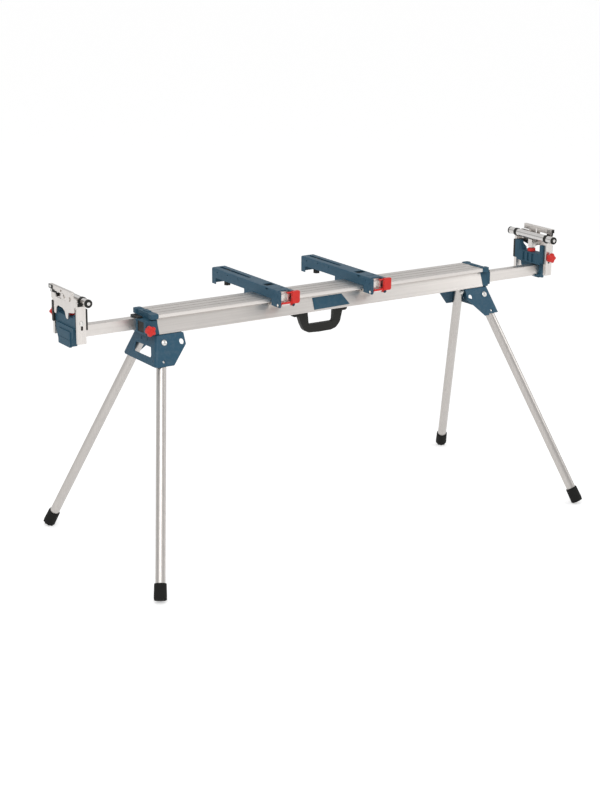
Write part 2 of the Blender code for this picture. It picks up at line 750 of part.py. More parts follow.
def make_arm(end, place):
    low = (-ARM_OFFSET - ARM_WIDTH / 2 + ARM_WALL, ARM_BOTTOM + ARM_WALL)
    high = (-ARM_OFFSET + ARM_WIDTH / 2 - ARM_WALL, ARM_TOP - ARM_WALL)
    hollow = rounded(rectangle(low, high), ARM_WALL / 4, 1)
    mesh = along([arm_bore(-ARM_OFFSET, 0), hollow], ARM_END - ARM_LENGTH, ARM_END)
    piece(f"{end}_arm", mesh, ALUMINIUM, place, (ARM_END, -ARM_OFFSET, ARM_Z))


def make_star_knob(name, frame, standoff, stud_radius, stud_reach):
    """Star knob along a frame's Z: the back of its hub is at zero and its stud reaches the other way."""
    star = prism([lobed(KNOB_RADIUS, KNOB_DIP, KNOB_LOBES)], KNOB_THICKNESS, Matrix.Translation((0, 0, standoff)))
    knob = piece(name, star, RED_PLASTIC, frame)
    bevelled(knob, KNOB_EDGE, 1)
    hub = cylinder((0, 0, 0), (0, 0, standoff + KNOB_EDGE), KNOB_HUB_RADIUS, HUB_SIDES)
    stud = cylinder((0, 0, -stud_reach), (0, 0, KNOB_EDGE), stud_radius)
    add(knob, hub, stud)
    top = standoff + KNOB_THICKNESS
    cut(knob, cylinder((0, 0, top - KNOB_DISH_DEPTH), (0, 0, top + OVERRUN), KNOB_DISH_RADIUS, HUB_SIDES))


def make_arm_knob(end, place):
    seat_y = CAP_HOUSING_BACK + SEAT_GAP
    seat = Matrix.Translation((RAIL_END + ARM_KNOB_REACH, seat_y, ARM_Z - ARM_KNOB_DROP))
    seat = seat @ Matrix.Rotation(-math.pi / 2, 4, "X")
    arm_face = ARM_WIDTH / 2 - ARM_OFFSET + SEAT_GAP
    make_star_knob(f"{end}_arm_knob", place @ seat, ARM_KNOB_STANDOFF, KNOB_STUD_RADIUS, seat_y - arm_face)


# Legs, folded brackets, pivot bolts, feet and lock buttons


def leg_frame(side):
    """Frame of a right-hand leg: origin on its pivot, Z up the leg and Y out through the bracket's side plate."""
    mirror = Vector((1, -side, 1))
    up = ((PIVOT - FOOT_POINT) * mirror).normalized()
    out = Vector((0, side * math.cos(PLATE_TILT), math.sin(PLATE_TILT)))
    turn = Matrix((out.cross(up), out, up)).transposed().to_4x4()
    return Matrix.Translation(PIVOT * mirror) @ turn


def plate_frame(side):
    """Frame in a side plate: origin on the leg's pivot, X outboard along the rail and Z out through the plate."""
    out = Vector((0, side * math.cos(PLATE_TILT), math.sin(PLATE_TILT)))
    along_rail = Vector((1, 0, 0))
    turn = Matrix((along_rail, out.cross(along_rail), out)).transposed().to_4x4()
    return Matrix.Translation(PIVOT * Vector((1, -side, 1))) @ turn


def side_face(height):
    """Distance from the middle to the outside of a side plate at a height."""
    return PIVOT_SIDE + (PLATE_OUTER - (height - PIVOT.z) * math.sin(PLATE_TILT)) / math.cos(PLATE_TILT)


def end_face(height):
    """X of the outside of the end plate at a height."""
    reach = BRACKET_END_OFFSET - (height - PIVOT.z) * math.sin(BRACKET_END_TILT)
    return PIVOT.x + reach / math.cos(BRACKET_END_TILT)


def fold_line(height):
    """Level section of the folded sheet: along one side plate, round the end and back along the other."""
    corner = Vector((end_face(height) - FOLD_RADIUS, side_face(height) - FOLD_RADIUS))
    turns = [math.pi / 2 * (1 - step / (2 * CORNER_STEPS)) for step in range(2 * CORNER_STEPS + 1)]
    arc = [(corner.x + FOLD_RADIUS * math.cos(turn), corner.y + FOLD_RADIUS * math.sin(turn)) for turn in turns]
    half = [(BRACKET_INNER_END, side_face(height))] + arc
    return [(x, y, height) for x, y in half + [(x, -y) for x, y in reversed(half)]]


def folded_sheet():
    """Open surface between the fold lines at the bracket's top and bottom."""
    top, bottom = fold_line(BRACKET_TOP), fold_line(BRACKET_BOTTOM)
    count = len(top)
    faces = [(index, index + count, index + count + 1, index + 1) for index in range(count - 1)]
    mesh = bpy.data.meshes.new("folded_sheet")
    mesh.from_pydata(top + bottom, [], faces)
    bm = bmesh.new()
    bm.from_mesh(mesh)
    outward = sum((face.normal.dot(face.calc_center_median() - PIVOT * Vector((1, 0, 1))) for face in bm.faces))
    if outward < 0:
        bmesh.ops.reverse_faces(bm, faces=bm.faces)
    bm.to_mesh(mesh)
    bm.free()
    return mesh


def end_place(share):
    """Point on the bracket's end plate, across and up."""
    return share[0] * 2 * PIVOT_SIDE, BRACKET_BOTTOM + share[1] * BRACKET_DEPTH


def make_leg_bracket(end, place):
    bracket = piece(f"{end}_leg_bracket", folded_sheet(), BLUE_PAINT, place)
    solid = bracket.modifiers.new("sheet", "SOLIDIFY")
    solid.thickness = SHEET
    solid.offset = -1
    solid.use_even_offset = True
    web_half = side_face(BRACKET_TOP) - SHEET / 2
    web_end = end_face(BRACKET_TOP) - SHEET / 2
    web = rounded(
        rectangle((BRACKET_INNER_END + SHEET, -web_half), (web_end, web_half)),
        (0, FOLD_RADIUS - SHEET / 2, FOLD_RADIUS - SHEET / 2, 0),
        2 * CORNER_STEPS,
    )
    add(bracket, upward([web], BRACKET_TOP - SHEET, BRACKET_TOP))
    trim = (end_face(BRACKET_BOTTOM) + OVERRUN, side_face(BRACKET_BOTTOM) + OVERRUN)
    start = Vector((BRACKET_INNER_END, BRACKET_TOP - BRACKET_SLANT_DROP))
    finish = Vector((BRACKET_INNER_END + BRACKET_SLANT_REACH, BRACKET_BOTTOM))
    run = (finish - start) / 4
    slant = [tuple(start - run), ((start - run).x, (finish + run).y), tuple(finish + run)]
    cut(bracket, across([slant], -trim[1], trim[1]))
    inside = PIVOT.x
    window = [end_place(share) for share in WINDOW_SHARES]
    cut(bracket, along([rounded(window, WINDOW_RADIUS)], inside, trim[0]))
    for share in END_SLOT_SHARES:
        y, z = end_place(share)
        low = (y - END_SLOT_WIDTH / 2, z - END_SLOT_HEIGHT / 2)
        high = (y + END_SLOT_WIDTH / 2, z + END_SLOT_HEIGHT / 2)
        cut(bracket, along([rounded(rectangle(low, high), 0.45 * END_SLOT_WIDTH)], inside, trim[0]))
    y, z = end_place(END_HOLE_SHARE)
    cut(bracket, cylinder((inside, y, z), (trim[0], y, z), END_HOLE_RADIUS))
    corner = side_face(BRACKET_BOTTOM) - FOLD_RADIUS
    notch = [
        (-trim[1], BRACKET_BOTTOM - OVERRUN),
        (-trim[1], BRACKET_BOTTOM + BRACKET_NOTCH_RISE),
        (-corner, BRACKET_BOTTOM + BRACKET_NOTCH_RISE),
        (BRACKET_NOTCH_WIDTH - corner, BRACKET_BOTTOM - OVERRUN),
    ]
    cut(bracket, along([notch], inside, trim[0]))
    for side in (-1, 1):
        frame = leg_frame(side)
        inner, outer = frame @ Vector((0, 0, 0)), frame @ Vector((0, PLATE_OUTER + OVERRUN, 0))
        cut(bracket, cylinder(inner, outer, BOLT_RADIUS + HOLE_GAP))
        down = frame.to_3x3() @ Vector((0, 0, -LOCK_REACH))
        cut(bracket, cylinder(inner + down, outer + down, BUTTON_RADIUS + HOLE_GAP))
        low = (-LOCK_REACH - FOLD_HOLE_WIDTH / 2, -FOLD_HOLE_HEIGHT / 2)
        high = (-LOCK_REACH + FOLD_HOLE_WIDTH / 2, FOLD_HOLE_HEIGHT / 2)
        plate = plate_frame(side)
        drop = math.copysign(FOLD_HOLE_DROP, (plate.to_3x3() @ Vector((0, 1, 0))).z)
        oval = [(x, y - drop) for x, y in rounded(rectangle(low, high), FOLD_HOLE_RADIUS)]
        cut(bracket, prism([oval], PLATE_OUTER + OVERRUN, plate))


def make_leg(corner, frame):
    tube = [circle((0, 0), LEG_RADIUS, LEG_SIDES), circle((0, 0), LEG_RADIUS - LEG_WALL, LEG_SIDES)]
    bottom = SHOE_SHORT + SHOE_SOLE + SEAT_GAP - LEG_REACH
    leg = piece(f"{corner}_leg", upward(tube, bottom, LEG_ABOVE_PIVOT), ALUMINIUM, frame)
    past = LEG_RADIUS + OVERRUN
    cut(leg, cylinder((0, -past, 0), (0, past, 0), BOLT_RADIUS + HOLE_GAP))
    cut(leg, cylinder((0, 0, -LOCK_REACH), (0, past, -LOCK_REACH), BUTTON_RADIUS + HOLE_GAP))


def make_foot(corner, frame):
    """Rubber shoe on the leg's end, cut level where it stands on the floor."""
    bottom = SHOE_SHORT - LEG_REACH
    top = bottom + SHOE_LENGTH
    bore = LEG_RADIUS + SEAT_GAP
    profile = [
        (0, bottom + SHOE_SOLE),
        (bore, bottom + SHOE_SOLE),
        (bore, top),
        (SHOE_TOP_RADIUS, top),
        (SHOE_RADIUS, bottom + SHOE_EDGE),
        (SHOE_RADIUS - SHOE_EDGE, bottom),
        (0, bottom),
    ]
    foot = piece(f"{corner}_foot", revolved(profile, sides=LEG_SIDES), RUBBER, frame)
    centre = frame @ Vector((0, 0, -LEG_REACH))
    reach = SHOE_LENGTH
    floor = box((centre.x - reach, centre.y - reach, -reach), (centre.x + reach, centre.y + reach, 0))
    floor.transform(frame.inverted())
    cut(foot, floor)


def make_pivot_bolt(corner, frame):
    """Domed bolt from outside the side plate, through the leg, to a nut on the leg's inner side."""
    outward = frame @ Matrix.Rotation(-math.pi / 2, 4, "X")
    head = PLATE_OUTER + SEAT_GAP
    rise = [math.pi / 2 * step / CORNER_STEPS for step in range(CORNER_STEPS, -1, -1)]
    dome = [(BOLT_HEAD_RADIUS * math.cos(turn), head + BOLT_HEAD_HEIGHT * math.sin(turn)) for turn in rise]
    nut = -LEG_RADIUS - SEAT_GAP
    profile = [(0, dome[0][1])] + dome[1:] + [
        (BOLT_RADIUS, head),
        (BOLT_RADIUS, nut - NUT_HEIGHT - BOLT_END),
        (0, nut - NUT_HEIGHT - BOLT_END),
    ]
    bolt = piece(f"{corner}_pivot_bolt", revolved(profile), STEEL, outward)
    add(bolt, prism([circle((0, 0), NUT_RADIUS, 6)], NUT_HEIGHT, Matrix.Translation((0, 0, nut - NUT_HEIGHT))))


def make_lock_button(corner, frame):
    outward = frame @ Matrix.Translation((0, 0, -LOCK_REACH)) @ Matrix.Rotation(-math.pi / 2, 4, "X")
    tip = LEG_RADIUS + BUTTON_SETBACK
    flange = LEG_RADIUS - BUTTON_FLANGE_SETBACK
    profile = [
        (0, tip),
        (BUTTON_RADIUS, tip),
        (BUTTON_RADIUS, flange),
        (BUTTON_FLANGE_RADIUS, flange),
        (BUTTON_FLANGE_RADIUS, flange - BUTTON_FLANGE_THICKNESS),
        (BUTTON_RADIUS, flange - BUTTON_FLANGE_THICKNESS),
        (BUTTON_RADIUS, tip - BUTTON_LENGTH),
        (0, tip - BUTTON_LENGTH),
    ]
    piece(f"{corner}_lock_button", revolved(profile), STEEL, outward)


def make_legs():
    for end, turn in ENDS.items():
        for side in (-1, 1):
            frame = turn @ leg_frame(side)
            row = "front" if frame.translation.y < 0 else "rear"
            corner = f"{row}_{end}"
            make_leg(corner, frame)
            make_foot(corner, frame)
            make_pivot_bolt(corner, frame)
            make_lock_button(corner, frame)


# Handle and name plate


def make_carry_handle():
    top = RAIL_BOTTOM - SEAT_GAP
    points = [(x * HANDLE_WIDTH, top - drop * HANDLE_DROP) for x, drop in HANDLE_OUTER_SHARES]
    radii = [share * HANDLE_WIDTH for share in HANDLE_RADIUS_SHARES]
    mesh = across([rounded(points, radii, CORNER_STEPS + 1)], -HANDLE_THICKNESS / 2, HANDLE_THICKNESS / 2)
    handle = piece("carry_handle", mesh, BLACK_PLASTIC)
    bevelled(handle, HANDLE_EDGE, 1)


def make_name_plate():
    """Bare plate on the rail's front wall."""
    lean = math.atan2((RAIL_FOOT_WIDTH - RAIL_NECK_WIDTH) / 2, LIP_BOTTOM - RAIL_BOTTOM)
    corner = Vector((-PLATE_LEFT, -wall_half(RAIL_BOTTOM + PLATE_RISE), RAIL_BOTTOM + PLATE_RISE))
    frame = Matrix.Translation(corner) @ Matrix.Rotation(math.pi / 2 - lean, 4, "X")
    points = [(x * PLATE_WIDTH, up * PLATE_HEIGHT) for x, up in PLATE_SHARES]
    mesh = prism([points], PLATE_THICKNESS, Matrix.Translation((0, 0, SEAT_GAP)))
    piece("name_plate", mesh, BLUE_PLASTIC, frame)


# Roller supports


def make_support_frame(end, place):
    """Two slotted posts joined by a face plate, with a block that rests on the thumb wheel's stud."""
    post_low, post_high = ARM_Z - POST_BELOW_ARM, ARM_Z + POST_ABOVE_ARM
    half_width = POST_WIDTH / 2

    def post(side):
        near, far = sorted((side * POST_INNER, side * POST_OUTER))
        outer = rectangle((POST_X - half_width, near), (POST_X + half_width, far))
        inner = rectangle(
            (POST_X - half_width + POST_WALL, near + POST_WALL), (POST_X + half_width - POST_WALL, far - POST_WALL)
        )
        return upward([outer, inner], post_low, post_high)

    frame = piece(f"{end}_support_frame", post(-1), ALUMINIUM, place, (POST_X, 0, ARM_Z + POST_ABOVE_ARM))
    bridge = ARM_Z + FACE_PLATE_BRIDGE
    top = ARM_Z + FACE_PLATE_TOP
    lower = [(x * FACE_PLATE_HALF, ARM_Z + up * FACE_PLATE_BRIDGE) for x, up in FACE_PLATE_EDGE_SHARES]
    edge = POST_OUTER - LAP / 2
    shoulders = [(edge, bridge), (edge, top), (-edge, top), (-edge, bridge)]
    radii = [0] + [FACE_PLATE_EDGE_RADIUS / 2] * (len(lower) - 2) + [0, 0]
    radii += [FACE_PLATE_EDGE_RADIUS, FACE_PLATE_EDGE_RADIUS, 0]
    window = [(x * FACE_PLATE_HALF, ARM_Z + up * FACE_PLATE_BRIDGE) for x, up in FACE_WINDOW_SHARES]
    plate = [rounded(lower + shoulders, radii), rounded(window, FACE_WINDOW_RADIUS)]
    add(frame, post(1), along(plate, FACE_PLATE_X, FACE_PLATE_X + FACE_PLATE_THICKNESS + LAP))
    rest_low = (POST_X - REST_BLOCK_SETBACK, -REST_BLOCK_WIDTH / 2, ARM_Z + REST_BLOCK_BOTTOM)
    rest_high = (FACE_PLATE_X + LAP, REST_BLOCK_WIDTH / 2, ARM_Z + REST_BLOCK_TOP)
    add(frame, box(rest_low, rest_high))
    screw_z = ARM_Z + STOP_SCREW_RISE
    face = FACE_PLATE_X + FACE_PLATE_THICKNESS + LAP
    under_head = face + SLIDE_GAP + STOP_TONGUE_THICKNESS + SLIDE_GAP
    add(frame, cylinder((face - LAP, 0, screw_z), (under_head + LAP, 0, screw_z), STOP_SCREW_RADIUS))
    head_end = under_head + STOP_SCREW_HEAD_HEIGHT
    add(frame, cylinder((under_head, 0, screw_z), (head_end, 0, screw_z), STOP_SCREW_HEAD_RADIUS))
    slot_low = GUIDE_Z - POST_SLOT_LIFT - POST_SLOT_WIDTH / 2
    slot_high = GUIDE_Z + POST_SLOT_WIDTH
    slot = rounded(
        rectangle((POST_X - POST_SLOT_WIDTH / 2, slot_low), (POST_X + POST_SLOT_WIDTH / 2, slot_high)),
        0.47 * POST_SLOT_WIDTH,
    )
    cut(frame, across([slot], -POST_OUTER - OVERRUN, POST_OUTER + OVERRUN))


def roller_axis(place):
    """Frame on a roller's axis, with Z along Y."""
    centre = (POST_X - ROLLER_SETBACK, 0, ARM_Z + ROLLER_RISE)
    return place @ Matrix.Translation(centre) @ Matrix.Rotation(-math.pi / 2, 4, "X")


def make_roller(end, place):
    spigot = ROLLER_STUB_END + ROLLER_SPIGOT_LENGTH
    half = [
        (0, spigot),
        (ROLLER_SPIGOT_RADIUS, spigot),
        (ROLLER_SPIGOT_RADIUS, ROLLER_STUB_END),
        (ROLLER_RADIUS - ROLLER_EDGE, ROLLER_STUB_END),
        (ROLLER_RADIUS, ROLLER_STUB_END - ROLLER_EDGE),
        (ROLLER_RADIUS, ROLLER_STUB_START),
        (ROLLER_NECK_RADIUS, ROLLER_STUB_START),
        (ROLLER_NECK_RADIUS, ROLLER_BARREL_HALF),
        (ROLLER_RADIUS, ROLLER_BARREL_HALF),
    ]
    profile = half + [(radius, -height) for radius, height in reversed(half)]
    piece(f"{end}_roller", revolved(profile, sides=ROLLER_SIDES), CHROME, roller_axis(place))


def make_roller_cap(name, place, side):
    start = ROLLER_STUB_END + SEAT_GAP
    end = start + ROLLER_CAP_LENGTH
    bore = ROLLER_SPIGOT_RADIUS + SEAT_GAP
    floor = ROLLER_STUB_END + ROLLER_SPIGOT_LENGTH + SEAT_GAP
    profile = [
        (0, end),
        (ROLLER_CAP_RADIUS - ROLLER_CAP_EDGE, end),
        (ROLLER_CAP_RADIUS, end - ROLLER_CAP_EDGE),
        (ROLLER_CAP_RADIUS, start),
        (bore, start),
        (bore, floor),
        (0, floor),
    ]
    turn = HERE if side > 0 else Matrix.Rotation(math.pi, 4, "X")
    piece(name, revolved(profile, sides=ROLLER_SIDES), BLACK_PLASTIC, roller_axis(place) @ turn)


def make_roller_bush(name, place, side):
    """Plastic bush: a ring round the roller's neck on a pad whose peg plugs the post."""
    near, far = sorted((side * BUSH_START, side * (BUSH_START + BUSH_LENGTH)))
    centre = (POST_X - ROLLER_SETBACK, ARM_Z + ROLLER_RISE)
    ring = circle(centre, BUSH_RADIUS, ROLLER_SIDES)
    bore = circle(centre, ROLLER_NECK_RADIUS + HOLE_GAP, ROLLER_SIDES)
    bush = piece(name, across([ring], near, far), BLACK_PLASTIC, place, (centre[0], side * BUSH_START, centre[1]))
    seat = ARM_Z + POST_ABOVE_ARM + SEAT_GAP
    pad_low = (POST_X - BUSH_PAD_WIDTH / 2, near, seat)
    pad_high = (POST_X + BUSH_PAD_WIDTH / 2, far, seat + BUSH_PAD_HEIGHT)
    peg_half = POST_WIDTH / 2 - POST_WALL - SEAT_GAP
    walls = sorted((side * (POST_INNER + POST_WALL + SEAT_GAP), side * (POST_OUTER - POST_WALL - SEAT_GAP)))
    peg = box((POST_X - peg_half, walls[0], seat - BUSH_PEG_DEPTH), (POST_X + peg_half, walls[1], seat + LAP))
    add(bush, box(pad_low, pad_high), peg)
    cut(bush, across([bore], near - OVERRUN, far + OVERRUN))


def make_stop_bar(end, place):
    """Finned bar with a slotted tongue that slides on the frame's stop screw."""
    inboard = FACE_PLATE_X + FACE_PLATE_THICKNESS + LAP + SLIDE_GAP
    outboard = inboard + STOP_THICKNESS
    bottom, top = ARM_Z + STOP_BOTTOM, ARM_Z + STOP_BOTTOM + STOP_HEIGHT
    outline = [(outboard, bottom), (outboard, top), (inboard, top)]
    pitch = STOP_HEIGHT / (STOP_FIN_COUNT + 1)
    for index in range(STOP_FIN_COUNT):
        middle = top - pitch * (index + 1)
        high, low = middle + STOP_FIN_GAP / 2, middle - STOP_FIN_GAP / 2
        deep = inboard + STOP_FIN_DEPTH
        outline += [(inboard, high), (deep, high), (deep, low), (inboard, low)]
    outline.append((inboard, bottom))
    bar = piece(
        f"{end}_stop_bar",
        across([outline], -STOP_LENGTH / 2, STOP_LENGTH / 2),
        ALUMINIUM,
        place,
        (inboard, 0, bottom),
    )
    half = STOP_TONGUE_WIDTH / 2
    low = bottom - STOP_TONGUE_DROP
    tongue = [
        (-half, bottom + STOP_FIN_GAP),
        (-half, low + STOP_TONGUE_TAPER),
        (STOP_TONGUE_TAPER - half, low),
        (half - STOP_TONGUE_TAPER, low),
        (half, low + STOP_TONGUE_TAPER),
        (half, bottom + STOP_FIN_GAP),
    ]
    add(bar, along([tongue], inboard, inboard + STOP_TONGUE_THICKNESS))
    screw_z = ARM_Z + STOP_SCREW_RISE
    slot_half = STOP_SCREW_RADIUS + HOLE_GAP
    slot = rounded(
        rectangle((-slot_half, screw_z - slot_half), (slot_half, screw_z + STOP_TRAVEL + slot_half)), 0.94 * slot_half
    )
    cut(bar, along([slot], inboard - OVERRUN, inboard + STOP_TONGUE_THICKNESS + LAP))
    head_half = STOP_SCREW_HEAD_RADIUS + HOLE_GAP
    clear_low = (inboard + STOP_TONGUE_THICKNESS, -head_half, bottom - LAP)
    clear_high = (outboard + OVERRUN, head_half, screw_z + STOP_TRAVEL + head_half)
    if clear_high[2] > bottom:
        cut(bar, box(clear_low, clear_high))
    middle_x = (inboard + STOP_FIN_DEPTH + outboard) / 2
    for side in (-1, 1):
        for shift in (-1, 1):
            z = (bottom + top) / 2 + shift * STOP_BORE_SPACING / 2
            start = (middle_x, side * (STOP_LENGTH / 2 - STOP_BORE_DEPTH), z)
            finish = (middle_x, side * (STOP_LENGTH / 2 + OVERRUN), z)
            cut(bar, cylinder(start, finish, STOP_BORE_RADIUS))


def make_carriage(end, place):
    """Casting on the arm's end: a socket block, a crossbar and an upright with a guide channel at each side."""
    inboard, outboard = POST_X - CROSSBAR_INBOARD, POST_X + CROSSBAR_OUTBOARD
    crossbar = box(
        (inboard, -CROSSBAR_HALF, ARM_Z + CROSSBAR_BOTTOM), (outboard, CROSSBAR_HALF, ARM_Z + CROSSBAR_TOP)
    )
    carriage = piece(f"{end}_carriage", crossbar, BLUE_PAINT, place, (ARM_END, 0, ARM_Z))
    channel_out = POST_INNER - SEAT_GAP
    channel_in = channel_out - GUIDE_WALL
    bottom, top = ARM_Z + UPRIGHT_BOTTOM, ARM_Z + UPRIGHT_TOP
    shoulder = ARM_Z + UPRIGHT_SHOULDER
    profile = [
        (inboard, bottom),
        (outboard, bottom),
        (outboard, shoulder),
        (POST_X - UPRIGHT_NARROW, shoulder + (outboard - POST_X + UPRIGHT_NARROW)),
        (POST_X - UPRIGHT_NARROW, top),
        (inboard, top),
    ]
    lip_in = POST_X - POST_WIDTH / 2 - SEAT_GAP
    lip_out = POST_X + POST_WIDTH / 2 + SEAT_GAP
    for side in (-1, 1):
        near, far = sorted((side * UPRIGHT_INNER, side * (channel_in + LAP)))
        add(carriage, across([rounded(profile, FACE_WINDOW_RADIUS)], near, far))
        web_low, web_high = channel_in, channel_out
        tip = channel_out + GUIDE_LIP_WIDTH
        channel = [
            (lip_in - GUIDE_LIP, side * web_low),
            (lip_in - GUIDE_LIP, side * tip),
            (lip_in, side * tip),
            (lip_in, side * web_high),
            (lip_out, side * web_high),
            (lip_out, side * tip),
            (lip_out + GUIDE_LIP, side * tip),
            (lip_out + GUIDE_LIP, side * web_low),
        ]
        add(carriage, upward([channel], bottom + LAP, top - LAP))
    block_in, block_out = POST_X - END_BLOCK_INBOARD, POST_X + END_BLOCK_OUTBOARD
    foot, head = ARM_Z - END_BLOCK_BOTTOM, ARM_Z + END_BLOCK_TOP
    half = [
        (END_BLOCK_FOOT_HALF - END_BLOCK_CHAMFER, foot),
        (END_BLOCK_FOOT_HALF, foot + END_BLOCK_CHAMFER),
        (END_BLOCK_FOOT_HALF, ARM_Z - END_BLOCK_SHOULDER),
        (END_BLOCK_HALF, ARM_Z + END_BLOCK_SHOULDER),
        (END_BLOCK_HALF, head),
    ]
    add(carriage, along([rounded(mirrored(half), FACE_WINDOW_RADIUS)], block_in, block_out))
    pocket_end = ARM_END + SEAT_GAP
    cut(carriage, along([arm_bore(-ARM_OFFSET, SEAT_GAP)], block_in - OVERRUN, pocket_end))
    bumper_y = ARM_OFFSET + ARM_WIDTH / 2 + SLIDE_GAP
    bumper_z = foot + BUMPER_RISE
    bumper_low = (block_in - BUMPER_LENGTH, -bumper_y - BUMPER_WIDTH, bumper_z)
    bumper_high = (block_in + OVERRUN, -bumper_y, bumper_z + BUMPER_HEIGHT)
    add(carriage, box(bumper_low, bumper_high))
    rib_pitch = 2 * UPRIGHT_INNER / (CARRIAGE_RIB_COUNT + 1)
    for index in range(CARRIAGE_RIB_COUNT):
        middle = rib_pitch * (index + 1) - UPRIGHT_INNER
        low = (inboard - LAP, middle - CARRIAGE_RIB_WIDTH / 2, ARM_Z + CROSSBAR_BOTTOM + CARRIAGE_RIB_DEPTH)
        high = (
            inboard + CARRIAGE_RIB_DEPTH,
            middle + CARRIAGE_RIB_WIDTH / 2,
            ARM_Z + CROSSBAR_TOP - CARRIAGE_RIB_DEPTH,
        )
        cut(carriage, box(low, high))
    wheel = (POST_X - WHEEL_SETBACK, 0, 0)
    stud_low = ARM_Z + CROSSBAR_TOP - WHEEL_STUD_DEPTH - SEAT_GAP
    bore = [(wheel[0], 0, stud_low), (wheel[0], 0, ARM_Z + CROSSBAR_TOP + OVERRUN)]
    cut(carriage, cylinder(bore[0], bore[1], WHEEL_STUD_RADIUS + HOLE_GAP))
    for side in (-1, 1):
        start = (POST_X, side * (channel_out - GUIDE_SCREW_DEPTH - SEAT_GAP), GUIDE_Z)
        finish = (POST_X, side * (channel_out + OVERRUN), GUIDE_Z)
        cut(carriage, cylinder(start, finish, GUIDE_SCREW_RADIUS + HOLE_GAP))


def guide_axis(side):
    """Frame on a post's guide screw, with Z outwards and its origin on the post's outer face."""
    turn = Matrix.Rotation(-side * math.pi / 2, 4, "X")
    return Matrix.Translation((POST_X, side * (POST_OUTER + SEAT_GAP), GUIDE_Z)) @ turn


def make_guide_screw(end, place):
    """Washer-headed screw through the slot of the post that has no knob."""
    reach = POST_OUTER + SEAT_GAP - (POST_INNER - SEAT_GAP) + GUIDE_SCREW_DEPTH
    profile = [
        (0, GUIDE_HEAD_THICKNESS),
        (GUIDE_HEAD_RADIUS, GUIDE_HEAD_THICKNESS),
        (GUIDE_HEAD_RADIUS, 0),
        (GUIDE_SCREW_RADIUS, 0),
        (GUIDE_SCREW_RADIUS, -reach),
        (0, -reach),
    ]
    screw = piece(f"{end}_guide_screw", revolved(profile), STEEL, place @ guide_axis(1))
    hexagon = circle((0, 0), GUIDE_HEX_RADIUS, 6)
    add(screw, prism([hexagon], GUIDE_HEX_THICKNESS, Matrix.Translation((0, 0, GUIDE_HEAD_THICKNESS - LAP))))


def make_height_knob(end, place):
    reach = POST_OUTER + SEAT_GAP - (POST_INNER - SEAT_GAP) + GUIDE_SCREW_DEPTH
    frame = place @ guide_axis(-1)
    make_star_knob(f"{end}_height_knob", frame, HEIGHT_KNOB_STANDOFF, GUIDE_SCREW_RADIUS, reach)


def make_thumb_wheel(end, place):
    """Fluted wheel on a stud that carries the support frame's weight."""
    seat = ARM_Z + CROSSBAR_TOP + SEAT_GAP
    frame = place @ Matrix.Translation((POST_X - WHEEL_SETBACK, 0, seat))
    wheel = prism([lobed(WHEEL_RADIUS, WHEEL_FLUTE_DEPTH, WHEEL_FLUTES, FLUTE_STEPS)], WHEEL_THICKNESS)
    made = piece(f"{end}_thumb_wheel", wheel, RED_PLASTIC, frame)
    stud_top = ARM_Z + REST_BLOCK_BOTTOM - SEAT_GAP - seat
    add(made, cylinder((0, 0, -WHEEL_STUD_DEPTH), (0, 0, stud_top), WHEEL_STUD_RADIUS))


# Tool mounts


